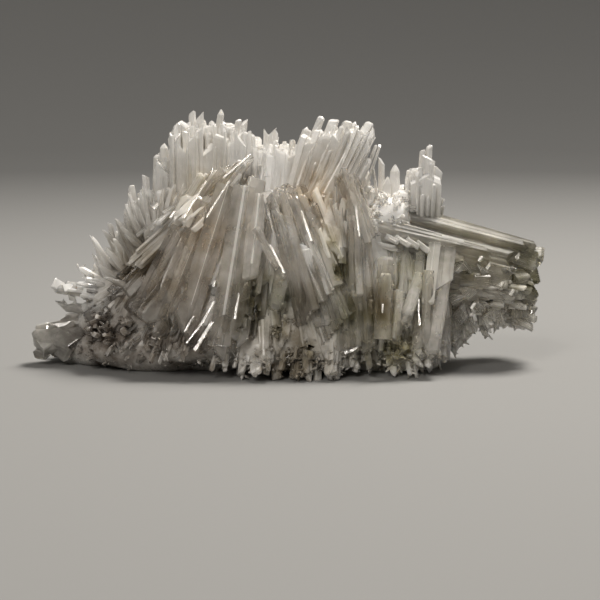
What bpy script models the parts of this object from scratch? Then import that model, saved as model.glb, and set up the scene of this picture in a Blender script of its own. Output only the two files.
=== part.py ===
"""A cabinet specimen of scolecite: sprays of square, blunt-tipped prisms that fan
out of one intergrown mass, with a long beam of parallel crystals to the right and
a low tail to the left. It all grew together, so it is one solid.

Metres, +Z up, +X along the specimen's length, -Y towards its best side. The origin
is under the middle of the length, on the surface that the sawn base rests on."""

import math
import random

import bmesh
import bpy
from mathutils import Matrix, Vector, noise

MM = 0.001

# Places are read in millimetres on a drawing of the specimen's best side, as
# (across, up, deep). The drawing's sight line dips below level, and deep is how far
# behind the middle plane the point lies. place() turns them into x, y and z.
DRAWING_DISTANCE = 394.0
DRAWING_DIP = math.radians(8.0)
DRAWING_CENTRE_ACROSS = 3.1
DRAWING_CENTRE_UP = 15.1

BASE_LEVEL = 0.0
FLATNESS_RANGE = (0.72, 1.0)
TIP_STEEPNESS_RANGE = (0.35, 0.75)
TIP_OFFSET = 0.18
FOOT_DEPTH_SHARE = 0.6

# A sheaf is a fan of crystals. Their feet are spread between two points, their tips
# between two others. Each lies up to the thickness further back, falls short of its
# tip line by up to the ragged share, and strays from it by up to the scatter.
# name, foot from, foot to, tip from, tip to, count, width range, thickness, ragged, scatter
SHEAVES = (
    # The crown of upright crystals at the upper left
    ("left_column", (-31, 30, -3), (-26, 33, -5), (-30.0, 49.0, -3), (-27.6, 51, -3), 6, (2.2, 2.8), 9, 0.05, 0.3),
    ("crown_left", (-24, 34, -5), (-15, 37, -7), (-23.5, 56.8, -2), (-15, 57.6, -3), 9, (2.2, 3.2), 13, 0.06, 0.4),
    ("crown_right", (-15, 36, -7), (-8, 40, -7), (-14, 57.2, -2), (-7.4, 53.4, -3), 8, (2.0, 3.0), 13, 0.06, 0.4),
    ("saddle", (-8, 38, -8), (5, 38, -8), (-5.4, 52.0, -3), (3.0, 52.2, -3), 8, (2.2, 2.8), 12, 0.06, 0.3),
    # The fan that leans to the upper right
    ("lean_inner", (-2, 36, -9), (8, 38, -9), (4.2, 53.6, -4), (13.5, 56.4, -4), 9, (2.0, 2.8), 13, 0.06, 0.4),
    ("lean_outer", (4, 37, -10), (9.6, 40, -10), (13.0, 55.8, -4), (18.8, 55.6, -5), 7, (2.0, 2.8), 10, 0.05, 0.3),
    # The left slope
    ("slope_fan", (-35, 27, -4), (-31, 30, -4), (-38.6, 38.2, -4), (-32.4, 42.4, -3), 7, (1.8, 2.4), 9, 0.08, 0.3),
    ("slope_low", (-38, 20, -4), (-35, 24, -5), (-44.2, 24.6, -3), (-39.4, 34.2, -3), 6, (2.2, 2.8), 8, 0.10, 0.4),
    # Rays that fall from the crown to the lower left
    ("rays_upper", (-12, 50, -7), (-12, 44, -10), (-33.5, 31.5, -10), (-38, 20, -12), 7, (1.6, 2.4), 2, 0.10, 0.8),
    ("rays_front", (-12, 47, -12), (-8, 44, -13), (-27.0, 34.0, -15), (-24.5, 30.0, -16), 5, (1.4, 2.0), 2, 0.12, 0.8),
    ("rays_lower", (-24, 34, -10), (-22, 28, -12), (-42, 19, -7), (-37, 9.0, -13), 6, (2.2, 3.0), 3, 0.15, 1.0),
    ("fall_left", (-18, 44, -10), (-8, 40, -13), (-33.8, 10.0, -18), (-16.0, 0.4, -22), 9, (3.0, 4.0), 2, 0.08, 0.8),
    # The middle of the best side
    ("chevron_left", (-10, 34, -15), (-6, 34, -15), (-15, 6.0, -21), (-9.5, 3.0, -22), 4, (2.4, 3.0), 2, 0.10, 0.8),
    ("hollow_bars", (-7, 31, -13), (0, 24, -14), (-9, 8.0, -19), (0, 5.0, -20), 5, (2.0, 2.8), 2, 0.15, 0.8),
    ("diagonal", (3, 9, -21), (12.5, 19, -20), (-5.0, 42.4, -12), (2.7, 43.0, -10), 6, (2.3, 3.0), 2, 0.05, 0.6),
    ("under_diagonal", (2, 18, -14), (12, 16, -15), (0, 2.5, -20), (12, 1.5, -21), 5, (2.4, 3.2), 2, 0.20, 0.8),
    ("pillar_middle", (12.8, 46, -10), (16.5, 45, -10), (13.4, 3.5, -21), (18.6, 9.0, -20), 4, (2.6, 3.2), 2, 0.05, 0.5),
    ("pillar_shadow", (16, 30, -14), (22, 27, -13), (16.5, 4.0, -19), (21.5, 4, -18), 5, (1.6, 2.2), 2, 0.10, 0.6),
    ("pillar_green", (24.5, 28, -13), (31, 27, -13), (24.5, 12, -15), (30, 11, -16), 4, (1.8, 2.4), 2, 0.10, 0.6),
    # The shelf and the spire at the upper right
    ("shelf", (15, 26, -7), (28, 27, -6), (16.6, 41.4, -5), (27.6, 41.2, -4), 9, (2.4, 3.0), 11, 0.05, 0.3),
    ("spire", (28, 28, -2), (35, 29, -2), (29.0, 44.8, -1), (34.4, 49.2, -1), 8, (1.9, 2.7), 7, 0.07, 0.3),
    # The beam of long parallel crystals that points right
    ("beam_front", (10, 41.0, -3), (10, 34.0, -6), (58.2, 27.0, -3), (59.2, 23.6, -3), 7, (2.4, 3.2), 3, 0.03, 0.3),
    ("beam_low", (12, 36, -9), (14, 31, -9), (52, 25.5, -8), (40, 25.0, -9), 5, (2.2, 3.0), 2, 0.08, 0.6),
    ("beam_back", (10, 40.6, 4), (10, 33, 4), (57, 26.6, 4), (58, 21, 4), 5, (2.8, 3.8), 3, 0.08, 0.6),
    # Blunt crystals of the right-hand end
    ("end_right", (44, 19, -3), (48, 13, -3), (58.8, 19.6, -4), (58.6, 9.8, -4), 7, (1.8, 2.6), 7, 0.04, 0.4),
    ("end_face", (40, 21, -1), (54, 14, -1), (41.5, 22, -11), (55.5, 15, -10), 9, (2.4, 3.4), 2, 0.15, 1.2),
    ("end_under", (38, 13, -5), (50, 14, -5), (40.0, 5.2, -11), (51.0, 8.6, -8), 6, (2.4, 3.2), 3, 0.08, 0.4),
    # Stubs that crowd the foot of the best side and the tail
    ("foot_left", (-42, 7, -6), (-10, 8, -9), (-43, 0.4, -11), (-10, 0.2, -20), 10, (2.6, 3.8), 5, 0.25, 0.8),
    ("foot_right", (-8, 8, -10), (33, 8, -10), (-7, 0.4, -20), (33, 0.6, -19), 11, (2.6, 3.8), 5, 0.25, 0.8),
    ("tail_front", (-54, 3, 2), (-34, 8, 0), (-56, 3.4, -3), (-36, 9, -11), 7, (2.6, 4.2), 2, 0.15, 1.0),
    ("tail_top", (-54, 2, 2), (-38, 8, 0), (-55, 9.0, 0), (-42, 16.6, -3), 7, (2.6, 4.2), 9, 0.15, 0.8),
    ("slope_skirt", (-36, 19, -3), (-30, 10, -6), (-44, 16, -6), (-37, 5, -12), 5, (2.8, 4.0), 2, 0.12, 1.2),
    # The far side
    ("far_crown", (-18, 36, 5), (14, 34, 5), (-25, 52, 12), (19, 49, 12), 8, (2.4, 3.4), 4, 0.15, 2.5),
    ("far_fall_left", (-16, 40, 7), (-10, 38, 9), (-42, 15, 14), (-18, 4, 24), 8, (2.8, 4.4), 5, 0.30, 3.0),
    ("far_fall_middle", (-8, 42, 6), (8, 42, 6), (-14, 5, 24), (14, 5, 24), 8, (2.8, 4.2), 5, 0.35, 3.0),
    ("far_fall_right", (10, 38, 5), (20, 36, 5), (16, 5, 24), (40, 8, 15), 8, (2.8, 4.2), 5, 0.30, 3.0),
    ("far_spray", (-14, 26, 11), (10, 26, 10), (-28, 44, 18), (18, 44, 18), 8, (2.2, 3.4), 8, 0.25, 4.0),
    ("far_tail", (-50, 4, 3), (-32, 10, 5), (-54, 7, 10), (-34, 10, 16), 5, (2.8, 4.2), 3, 0.15, 2.0),
    ("far_end", (40, 21, 3), (54, 15, 3), (42, 22, 11), (55, 13, 10), 5, (2.6, 3.8), 3, 0.15, 1.5),
)

# Single crystals that give the outline its own marks: foot, tip, width
LONE_CRYSTALS = (
    # The tail at the left
    ((-46, 6.0, 0), (-60.6, 5.2, -1), 7.4),
    ((-44, 10.6, 0), (-59.2, 7.8, 0), 2.8),
    ((-44, 12.6, -2), (-54.8, 13.8, -3), 2.4),
    ((-43, 15.8, -1), (-55.5, 18.4, -2), 2.8),
    ((-43, 16.4, 1), (-52.9, 19.1, 1), 2.2),
    # The left slope
    ((-43.6, 20.6, -1), (-46.9, 30.6, -2), 2.8),
    ((-40.6, 23.0, 0), (-43.8, 31.9, 0), 2.4),
    ((-40.4, 24.0, -2), (-41.8, 33.6, -3), 1.6),
    ((-38.0, 26.0, 0), (-39.8, 35.4, 0), 2.6),
    ((-34.8, 30.0, -2), (-36.9, 42.4, -2), 1.4),
    ((-32.8, 32.0, -1), (-33.4, 44.7, -1), 1.4),
    ((-28.8, 38.0, -1), (-29.1, 52.3, -1), 1.7),
    # The crown
    ((-25.4, 40.0, -4), (-27.0, 57.0, -3), 3.0),
    ((-23.6, 40.0, -3), (-24.6, 57.8, -1), 2.6),
    ((-22.2, 44.0, 0), (-22.4, 60.0, 1), 1.5),
    ((-20.4, 46.0, 1), (-20.6, 59.6, 1), 2.0),
    ((-17.6, 46.0, 0), (-15.4, 60.2, 1), 1.6),
    ((-12.4, 48.0, 0), (-11.4, 58.0, 0), 1.3),
    ((-11.0, 48.0, 1), (-10.0, 57.9, 1), 1.4),
    ((-4.9, 43.0, -3), (-3.9, 55.7, -1), 2.4),
    # The leaning fan
    ((0.0, 43.0, -5), (4.9, 56.0, -3), 1.6),
    ((2.2, 44.0, -3), (8.3, 58.5, -1), 1.7),
    ((6.0, 44.0, -3), (11.4, 58.2, -1), 2.3),
    ((8.6, 44.0, -3), (14.6, 57.6, -1), 2.2),
    ((10.4, 44.0, -2), (16.3, 57.3, -1), 1.6),
    ((11.0, 42.0, -7), (19.8, 57.0, -4), 2.0),
    ((11.8, 41.0, -8), (21.2, 55.6, -5), 1.7),
    # Needles in the gap, and the crystals at its foot
    ((15.4, 38.5, -4), (21.2, 51.9, -4), 1.0),
    ((17.4, 38.5, -4), (22.1, 51.9, -3), 1.1),
    ((21.4, 38.0, -4), (20.3, 46.6, -4), 0.9),
    ((22.2, 36.0, -2), (22.4, 48.8, -1), 1.3),
    ((25.2, 36.0, -2), (25.6, 47.2, -1), 2.0),
    ((23.0, 35.0, -3), (23.8, 44.3, -3), 1.8),
    ((26.6, 36.0, -1), (27.0, 42.6, -1), 1.4),
    # The spire
    ((31.0, 36.0, 0), (32.2, 50.8, 0), 1.5),
    ((33.0, 36.0, 0), (33.7, 52.0, 0), 1.3),
    ((33.4, 32.0, -1), (35.9, 46.6, -1), 2.0),
    ((33.0, 33.0, 0), (36.7, 39.4, 0), 2.0),
    ((34.0, 32.0, 0), (37.2, 37.4, 0), 1.8),
    # The top edge and the end of the beam
    ((16.0, 40.0, -1), (59.0, 27.6, -2), 2.0),
    ((46.0, 26.0, -2), (60.9, 25.4, -3), 3.8),
    ((46.0, 24.0, 0), (60.2, 22.4, -1), 4.2),
    ((50.0, 14.0, -4), (59.2, 10.3, -5), 1.6),
    ((50.0, 13.0, -4), (58.6, 8.2, -5), 1.6),
    # Leaning edge crystals over the middle pillar
    ((14.0, 45.6, -10), (19.8, 29.6, -15), 1.9),
    ((15.4, 38.0, -13), (19.2, 29.0, -16), 1.8),
    # Blunt crystals that stand in front at the right
    ((23.4, 25.0, -18), (22.6, 5.8, -22), 3.4),
    ((21.7, 20.4, -18), (21.6, 6.8, -21), 1.3),
    ((31.2, 20.0, -16), (27.6, 9.0, -21), 3.0),
    ((31.6, 28.0, -14), (31.1, 3.0, -20), 2.6),
    ((33.4, 22.0, -15), (32.4, 3.4, -20), 2.4),
    ((34.9, 29.4, -12), (33.3, 14.0, -18), 2.8),
    ((38.2, 27.4, -11), (36.4, 12.0, -17), 3.4),
    ((37.0, 20.0, -12), (34.2, 1.8, -20), 3.8),
    ((37.2, 16.0, -8), (36.8, 0.4, -14), 3.4),
    ((26.4, 17.0, -15), (25.4, 4.6, -21), 2.8),
    # The middle
    ((-1.0, 22.0, -17), (-3.0, 12.4, -22), 3.2),
    ((-7.4, 32.0, -16), (-0.8, 20.0, -20), 1.8),
    ((-17.6, 37.0, -13), (-22.0, 29.2, -17), 1.6),
    ((-15.0, 36.0, -13), (-18.4, 22.0, -20), 2.8),
    ((-13.0, 33.0, -14), (-14.0, 21.0, -20), 2.6),
    ((-24.6, 18.0, -18), (-27.4, 6.6, -21), 1.8),
    # Spikes and a knob that hang at the foot
    ((-3.6, 7.0, -15), (-5.1, -3.0, -23.5), 1.6),
    ((-6.4, 5.0, -15), (-6.8, -1.6, -20), 1.6),
    ((5.0, 5.0, -13), (5.6, -2.6, -21), 5.0),
    ((13.0, 5.0, -15), (13.9, -0.8, -20), 1.5),
    ((18.6, 5.0, -15), (19.6, -0.9, -20), 1.5),
    ((27.6, 6.0, -9), (28.0, -1.5, -16), 6.0),
)

# The intergrown mass that the sprays stand in: centre, half sizes
LUMPS = (
    ((-14, 22, 2), (23, 24, 16)),
    ((8, 22, 2), (20, 22, 16)),
    ((-8, 36, 2), (18, 12, 10)),
    ((12, 34, 1), (14, 9, 9)),
    ((-34, 10, 2), (17, 11, 10)),
    ((-47, 4.0, 3), (12, 7, 6)),
    ((26, 12, 1), (14, 16, 15)),
    ((28, 28, 1), (13, 8, 6)),
    ((47, 18, 0), (11, 8, 7)),
    ((-20, 5, 3), (22, 7, 17)),
    ((14, 5, 3), (24, 7, 18)),
)
LUMP_SUBDIVISIONS = 2
LUMP_ROUGHNESS = 0.22
LUMP_NOISE_SIZE = 9.0

KEPT_SHARE = 0.73

CRYSTAL_COLOUR = (0.80, 0.77, 0.72, 1.0)
CRYSTAL_ROUGHNESS = 0.18


def place(across, up, deep):
    """The point in millimetres that lies there on the drawing, at that depth."""
    sine = math.sin(DRAWING_DIP)
    cosine = math.cos(DRAWING_DIP)
    rise = up - DRAWING_CENTRE_UP
    above = (rise * (DRAWING_DISTANCE + deep * cosine) - DRAWING_DISTANCE * deep * sine) / (
        DRAWING_DISTANCE * cosine + rise * sine
    )
    further = deep * cosine - above * sine
    spread = (DRAWING_DISTANCE + further) / DRAWING_DISTANCE
    x = DRAWING_CENTRE_ACROSS + (across - DRAWING_CENTRE_ACROSS) * spread
    return Vector((x, deep, DRAWING_CENTRE_UP / cosine + above))


def between(first, last, share):
    return [a + (b - a) * share for a, b in zip(first, last)]


def crystals_of(sheaf):
    """(foot, tip, width) of each crystal in the fan."""
    name, foot_from, foot_to, tip_from, tip_to, count, width_range, thickness, ragged, scatter = sheaf
    draw = random.Random(name)
    for i in range(count):
        share = (i + draw.uniform(0.2, 0.8)) / count
        behind = draw.uniform(0, thickness)
        foot = between(foot_from, foot_to, share)
        tip = [value + draw.uniform(-scatter, scatter) for value in between(tip_from, tip_to, share)]
        foot = place(foot[0], foot[1], foot[2] + behind * FOOT_DEPTH_SHARE)
        tip = place(tip[0], tip[1], tip[2] + behind)
        yield foot, tip.lerp(foot, draw.uniform(0, ragged)), draw.uniform(*width_range)


def all_crystals():
    for sheaf in SHEAVES:
        yield from crystals_of(sheaf)
    for foot, tip, width in LONE_CRYSTALS:
        yield place(*foot), place(*tip), width


def add_crystal(mesh, foot, tip, width, draw):
    """A square prism from foot to tip, closed by a low four-sided pyramid."""
    along = tip - foot
    length = along.length
    turn = along.to_track_quat("Z", "Y").to_matrix().to_4x4()
    turn = turn @ Matrix.Rotation(draw.uniform(0, math.pi), 4, "Z")
    half = width / 2
    flat = half * draw.uniform(*FLATNESS_RANGE)
    point = half * draw.uniform(*TIP_STEEPNESS_RANGE)
    lean = Vector((draw.uniform(-1, 1), draw.uniform(-1, 1), 0)) * TIP_OFFSET * width
    corners = ((half, flat), (-half, flat), (-half, -flat), (half, -flat))
    rings = []
    for height in (0.0, length - point):
        rings.append([mesh.verts.new((foot + turn @ Vector((x, y, height))) * MM) for x, y in corners])
    apex = mesh.verts.new((foot + turn @ (Vector((0, 0, length)) + lean)) * MM)
    mesh.faces.new(rings[0])
    for i in range(4):
        after = (i + 1) % 4
        mesh.faces.new((rings[0][after], rings[0][i], rings[1][i], rings[1][after]))
        mesh.faces.new((rings[1][after], rings[1][i], apex))


def crystals_mesh():
    mesh = bmesh.new()
    draw = random.Random("crystals")
    for foot, tip, width in all_crystals():
        add_crystal(mesh, foot, tip, width, draw)
    bmesh.ops.recalc_face_normals(mesh, faces=mesh.faces)
    return mesh


def lumps_mesh():
    """The rough balls of the mass, before they are joined."""
    mesh = bmesh.new()
    for centre, half_sizes in LUMPS:
        middle = place(centre[0], centre[1], centre[2])
        made = bmesh.ops.create_icosphere(mesh, subdivisions=LUMP_SUBDIVISIONS, radius=1.0)
        for vertex in made["verts"]:
            half = Vector((half_sizes[0], half_sizes[2], half_sizes[1]))
            point = middle + vertex.co * half
            swell = 1 + LUMP_ROUGHNESS * noise.noise(point / LUMP_NOISE_SIZE)
            vertex.co = (middle + vertex.co * half * swell) * MM
    return mesh


def new_object(name, mesh):
    data = bpy.data.meshes.new(name)
    mesh.to_mesh(data)
    mesh.free()
    made = bpy.data.objects.new(name, data)
    bpy.context.scene.collection.objects.link(made)
    return made


def as_helper(made):
    made.hide_render = True
    made.display_type = "WIRE"
    return made


def base_cutter():
    """A block under the base level, which saws the underside flat."""
    mesh = bmesh.new()
    bmesh.ops.create_cube(mesh, size=1.0)
    bmesh.ops.scale(mesh, vec=(0.3, 0.2, 0.1), verts=mesh.verts)
    bmesh.ops.translate(mesh, vec=(0, 0, BASE_LEVEL * MM - 0.05), verts=mesh.verts)
    return as_helper(new_object("base_cutter", mesh))


def crystal_material():
    made = bpy.data.materials.new("scolecite")
    made.use_nodes = True
    shader = made.node_tree.nodes["Principled BSDF"]
    shader.inputs["Base Color"].default_value = CRYSTAL_COLOUR
    shader.inputs["Roughness"].default_value = CRYSTAL_ROUGHNESS
    shader.inputs["Metallic"].default_value = 0.0
    return made


def boolean(target, other, operation, own_overlaps=False):
    modifier = target.modifiers.new(operation.lower() + "_" + other.name, "BOOLEAN")
    modifier.operation = operation
    modifier.solver = "EXACT"
    modifier.use_self = own_overlaps
    modifier.object = other


def islands(mesh):
    """The groups of faces that hang together."""
    unseen = set(mesh.faces)
    while unseen:
        group = {unseen.pop()}
        edge_of_group = list(group)
        while edge_of_group:
            face = edge_of_group.pop()
            for edge in face.edges:
                for neighbour in edge.link_faces:
                    if neighbour in unseen:
                        unseen.remove(neighbour)
                        group.add(neighbour)
                        edge_of_group.append(neighbour)
        yield group


def keep_outer_skin(made):
    """Applies the modifiers, and fills the pockets between crystals that have no way out."""
    graph = bpy.context.evaluated_depsgraph_get()
    mesh = bmesh.new()
    mesh.from_mesh(made.evaluated_get(graph).to_mesh())
    skins = sorted(islands(mesh), key=len)
    for inner in skins[:-1]:
        bmesh.ops.delete(mesh, geom=list(inner), context="FACES")
    made.modifiers.clear()
    mesh.to_mesh(made.data)
    mesh.free()


def merge_slivers(made):
    """Collapses the thin triangles that lie along the seams between crystals."""
    modifier = made.modifiers.new("merge_slivers", "DECIMATE")
    modifier.ratio = KEPT_SHARE


def main():
    for old in list(bpy.data.objects):
        bpy.data.objects.remove(old)
    cluster = new_object("crystal_cluster", lumps_mesh())
    prisms = as_helper(new_object("prisms", crystals_mesh()))
    boolean(cluster, prisms, "UNION", own_overlaps=True)
    keep_outer_skin(cluster)
    merge_slivers(cluster)
    boolean(cluster, base_cutter(), "DIFFERENCE")
    keep_outer_skin(cluster)
    cluster.data.materials.append(crystal_material())


main()
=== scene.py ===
import math
import random

import bmesh
import bpy
import numpy as np
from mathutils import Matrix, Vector, noise


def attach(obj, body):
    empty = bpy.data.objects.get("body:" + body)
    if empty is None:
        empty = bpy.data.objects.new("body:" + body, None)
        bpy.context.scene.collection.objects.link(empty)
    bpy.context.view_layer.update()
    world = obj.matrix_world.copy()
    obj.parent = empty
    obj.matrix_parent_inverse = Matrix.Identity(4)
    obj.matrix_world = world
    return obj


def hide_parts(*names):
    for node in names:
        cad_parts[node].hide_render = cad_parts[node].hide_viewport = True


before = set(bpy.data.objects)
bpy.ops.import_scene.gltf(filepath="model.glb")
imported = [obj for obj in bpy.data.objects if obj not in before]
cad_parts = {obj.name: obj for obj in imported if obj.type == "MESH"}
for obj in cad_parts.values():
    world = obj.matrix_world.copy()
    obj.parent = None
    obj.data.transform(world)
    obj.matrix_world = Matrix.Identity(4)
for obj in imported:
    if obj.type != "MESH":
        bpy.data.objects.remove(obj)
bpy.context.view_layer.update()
mm = 0.001

# The drawing of the best side: where its camera stands and what it aims at
drawing = {
    "distance": 394.0,      # mm from the middle plane to the lens
    "dip": 8.0,             # degrees below level
    "centreAcross": 3.1,    # mm, the picture's middle
    "centreUp": 15.1,
    "lens": 100.0,
    "glint": (-250.0, -750.0, 750.0),    # mm, a small lamp that some crystal faces mirror
}
sinDip = math.sin(math.radians(drawing["dip"]))
cosDip = math.cos(math.radians(drawing["dip"]))
towardsBack = (0.02, 0.98, 0.1)    # a crystal's turn about its length is measured from this direction
backToLens = np.array((0, -cosDip, sinDip)) * drawing["distance"]


def seen(across, up, deep):
    # (across, up) in mm on the drawing and mm behind the middle plane, to a point in mm
    far = drawing["distance"]
    rise = up - drawing["centreUp"]
    above = (rise * (far + deep * cosDip) - far * deep * sinDip) / (far * cosDip + rise * sinDip)
    further = deep * cosDip - above * sinDip
    x = drawing["centreAcross"] + (across - drawing["centreAcross"]) * (far + further) / far
    return np.array((x, deep, drawing["centreUp"] / cosDip + above))


def ends(row):
    # foot, tip and width of a crystal in a table: two times across, up and deep, then the width
    return seen(*row[:3]), seen(*row[3:6]), row[6]


def between(pair, share):
    return [a + (b - a) * share for a, b in zip(pair[:3], pair[3:])]


def unit(vector):
    return vector / np.linalg.norm(vector)


def anyWay(draw):
    return np.array([draw.gauss(0, 1) for _ in range(3)])


def addObject(name, data):
    made = bpy.data.objects.new(name, data)
    bpy.context.scene.collection.objects.link(made)
    return made


def readValues(items, name, wide=1, kind=np.float64):
    values = np.empty(len(items) * wide, dtype=kind)
    items.foreach_get(name, values)
    return values.reshape(-1, wide) if wide > 1 else values


def writeValues(mesh, name, kind, domain, values):
    data = mesh.attributes.new(name, kind, domain).data
    data.foreach_set({"INT": "value", "FLOAT_VECTOR": "vector", "FLOAT_COLOR": "color"}[kind], values)


def fanCrystals(fan):
    # the same draws as in the part's source, so that each crystal here covers its plain one there
    name, feet, tips, count, widths, thickness, ragged, scatter = fan
    draw = random.Random(name)
    for i in range(count):
        share = (i + draw.uniform(0.2, 0.8)) / count
        behind = draw.uniform(0, thickness)
        foot = between(feet, share)
        tip = [value + draw.uniform(-scatter, scatter) for value in between(tips, share)]
        foot = seen(foot[0], foot[1], foot[2] + behind * 0.6)
        tip = seen(tip[0], tip[1], tip[2] + behind)
        tip = tip + (foot - tip) * draw.uniform(0, ragged)
        yield foot, tip, draw.uniform(*widths)


def fillCrystals(fan, values):
    # thin crystals that stand among a fan's large ones, stray from its direction and end a little lower
    name, feet, tips, count, _, thickness, _, scatter = fan
    draw = random.Random(name + "Fill")
    thin, wide = values["fillWidths"]
    near, far = values["fillStray"]
    for i in range(round(count * values["fewer"].get(name, values["fillShare"]))):
        along = draw.uniform(0, 1)
        behind = draw.uniform(0, thickness)
        stray = scatter + near + far * draw.random() ** 3
        foot = between(feet, min(1, max(0, along + draw.uniform(-0.15, 0.15))))
        tip = [value + draw.uniform(-1, 1) * stray for value in between(tips, along)]
        foot = seen(foot[0], foot[1], foot[2] + behind * 0.6 - 0.4)
        tip = seen(tip[0], tip[1], tip[2] + behind - 0.6)
        tip = tip + (foot - tip) * (values["fillRagged"] * draw.random() ** 1.4 + 0.02 * stray)
        yield foot, tip, thin + (wide - thin) * draw.random() ** 1.5


def roughBall(centre, half, roughness, noiseSize, steps):
    # one rough rounded body: its half sizes are across, up and deep
    ball = bmesh.new()
    bmesh.ops.create_icosphere(ball, subdivisions=steps, radius=1.0)
    middle = seen(*centre)
    size = np.array((half[0], half[2], half[1]))
    points = []
    for vertex in ball.verts:
        spot = middle + np.array(vertex.co) * size
        swell = 0.97 + roughness * noise.noise(Vector(spot / noiseSize))
        points.append(middle + np.array(vertex.co) * size * swell)
    faces = [[v.index for v in face.verts] for face in ball.faces]
    ball.free()
    return np.array(points), faces


class CrystalMesh:
    # gathers prisms and unites those that overlap; each face still knows its crystal
    def __init__(self):
        self.points = []
        self.faces = []
        self.owners = []
        self.crystals = []
        self.size = 0

    def outline(self, draw, width, flat, kind):
        ring = []
        if kind == "square":
            corner = draw.uniform(0.62, 0.86)
            ring = [(1, corner), (corner, 1), (-corner, 1), (-1, corner),
                    (-1, -corner), (-corner, -1), (corner, -1), (1, -corner)]
        elif kind == "ribbed":
            # parallel growth: shallow grooves run the length of each broad face
            for side in range(4):
                cos, sin = math.cos(side * math.pi / 2), math.sin(side * math.pi / 2)
                cut = draw.uniform(-0.6, 0.6)
                for a, b in ((1.0, -0.82), (1.0, cut - 0.08), (1 - draw.uniform(0.06, 0.14), cut),
                             (draw.uniform(0.95, 1.05), cut + 0.08), (1.0, 0.82)):
                    ring.append((a * cos - b * sin, a * sin + b * cos))
        else:
            # many crystals side by side grown into one: uneven steps across both broad faces
            for side in (1, -1):
                spots = sorted(draw.uniform(-0.92, 0.92) for _ in range(5))
                level = draw.uniform(0.7, 0.9)
                band = [(-1, level)]
                for spot in spots:
                    band.append((spot - 0.02, level))
                    level = draw.uniform(0.72, 1.0)
                    band.append((spot + 0.02, level))
                band.append((1, level))
                ring += [(-side * a, side * b) for a, b in band]
        return np.array(ring) * (width / 2, width / 2 * flat)

    def addPrism(self, foot, tip, width, draw, flat=1.0, kind="square", turn=None, cap=None, footScale=1.0,
                 shade=None, glass=None, bend=0.0, swell=None, facing=None):
        length = float(np.linalg.norm(tip - foot))
        if length < 0.3:
            return
        axis = (tip - foot) / length
        side = unit(np.cross(axis, towardsBack))
        other = np.cross(axis, side)
        turn = draw.uniform(0, math.pi) if turn is None else turn
        if facing is not None:    # the broad side is turned to the best side, give or take that angle
            turn = draw.uniform(-facing, facing)
        u = side * math.cos(turn) + other * math.sin(turn)
        v = other * math.cos(turn) - side * math.sin(turn)
        outline = self.outline(draw, width, flat, kind)
        cap = cap or draw.choice(("point", "slope", "slope", "blunt", "chip", "chip"))
        # the tip's width, its height and how far it slopes, all over the crystal's width
        if cap == "point":
            last, rise, slope = draw.uniform(0.08, 0.25), draw.uniform(0.5, 1.1), draw.uniform(-0.15, 0.15)
        elif cap == "slope":
            last, rise, slope = draw.uniform(0.6, 0.8), 0.18, draw.uniform(-0.9, 0.9)
        elif cap == "chip":
            last, rise, slope = draw.uniform(0.85, 0.97), 0.05, draw.choice((-1, 1)) * draw.uniform(0.4, 1.5)
        else:
            last, rise, slope = draw.uniform(0.5, 0.75), draw.uniform(0.2, 0.35), draw.uniform(-0.4, 0.4)
        rise *= width
        slopeTurn = draw.uniform(0, 2 * math.pi)
        slopes = slope * math.cos(slopeTurn), slope * math.sin(slopeTurn)
        shoulder = max(length - rise - abs(slope) * width / 2, length * 0.5)
        rings = [(0.0, footScale, 0.0)]    # height, scale and share of the slope
        if swell:
            rings += [(shoulder * share, scale, 0.0) for share, scale in swell]
            rings.append((shoulder, swell[-1][1] * 0.8, 1.0))
        else:
            if length > 5 * width:
                rings.append((shoulder * draw.uniform(0.3, 0.65), draw.uniform(0.95, 1.05), 0.0))
            rings.append((shoulder, draw.uniform(0.9, 1.0), 1.0))
        if width > 1.4 and cap in ("point", "blunt"):
            rings.append((shoulder + rise * 0.45, rings[-1][1] * (0.6 + 0.4 * last), 1.0))
        rings.append((shoulder + rise, last * rings[-1][1], 1.0))
        heights, scales, sloped = np.array(rings).T
        count = len(outline)
        a = scales[:, None] * outline[None, :, 0]
        b = scales[:, None] * outline[None, :, 1]
        lift = heights[:, None] + sloped[:, None] * (a * slopes[0] + b * slopes[1])
        a[-1] += draw.uniform(-1, 1) * 0.1 * width
        b[-1] += draw.uniform(-1, 1) * 0.1 * width
        bow = 4 * (heights / length) * (1 - heights / length) * bend * length
        a = a + bow[:, None] * draw.uniform(-1, 1)
        b = b + bow[:, None] * draw.uniform(-1, 1)
        points = (foot + a[..., None] * u + b[..., None] * v + lift[..., None] * axis).reshape(-1, 3)
        shade = draw.random() if shade is None else shade
        glass = draw.choice((0.0, 0.1, 0.3, 0.6, 0.9)) if glass is None else glass
        top = (len(rings) - 1) * count
        faces = [[count - 1 - k for k in range(count)]]
        for base in range(0, top, count):
            faces += [[base + k, base + (k + 1) % count, base + count + (k + 1) % count, base + count + k]
                      for k in range(count)]
        faces.append([top + k for k in range(count)])
        self.addBody(points, faces, (*foot, *u, *v, *(axis * 0.05), shade, glass, length * 0.05,
                                     draw.uniform(0, 50)))

    def addBody(self, points, faces, crystal):
        # crystal is its foot, its three axes, tone, clearness, length and a shift of its striations
        self.points.append(points)
        self.faces += [[index + self.size for index in face] for face in faces]
        self.owners += [len(self.crystals)] * len(faces)
        self.crystals.append(crystal)
        self.size += len(points)

    def addStrands(self, foot, tip, width, draw, strands, splay, glass, shares=(0.22, 0.5)):
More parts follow.
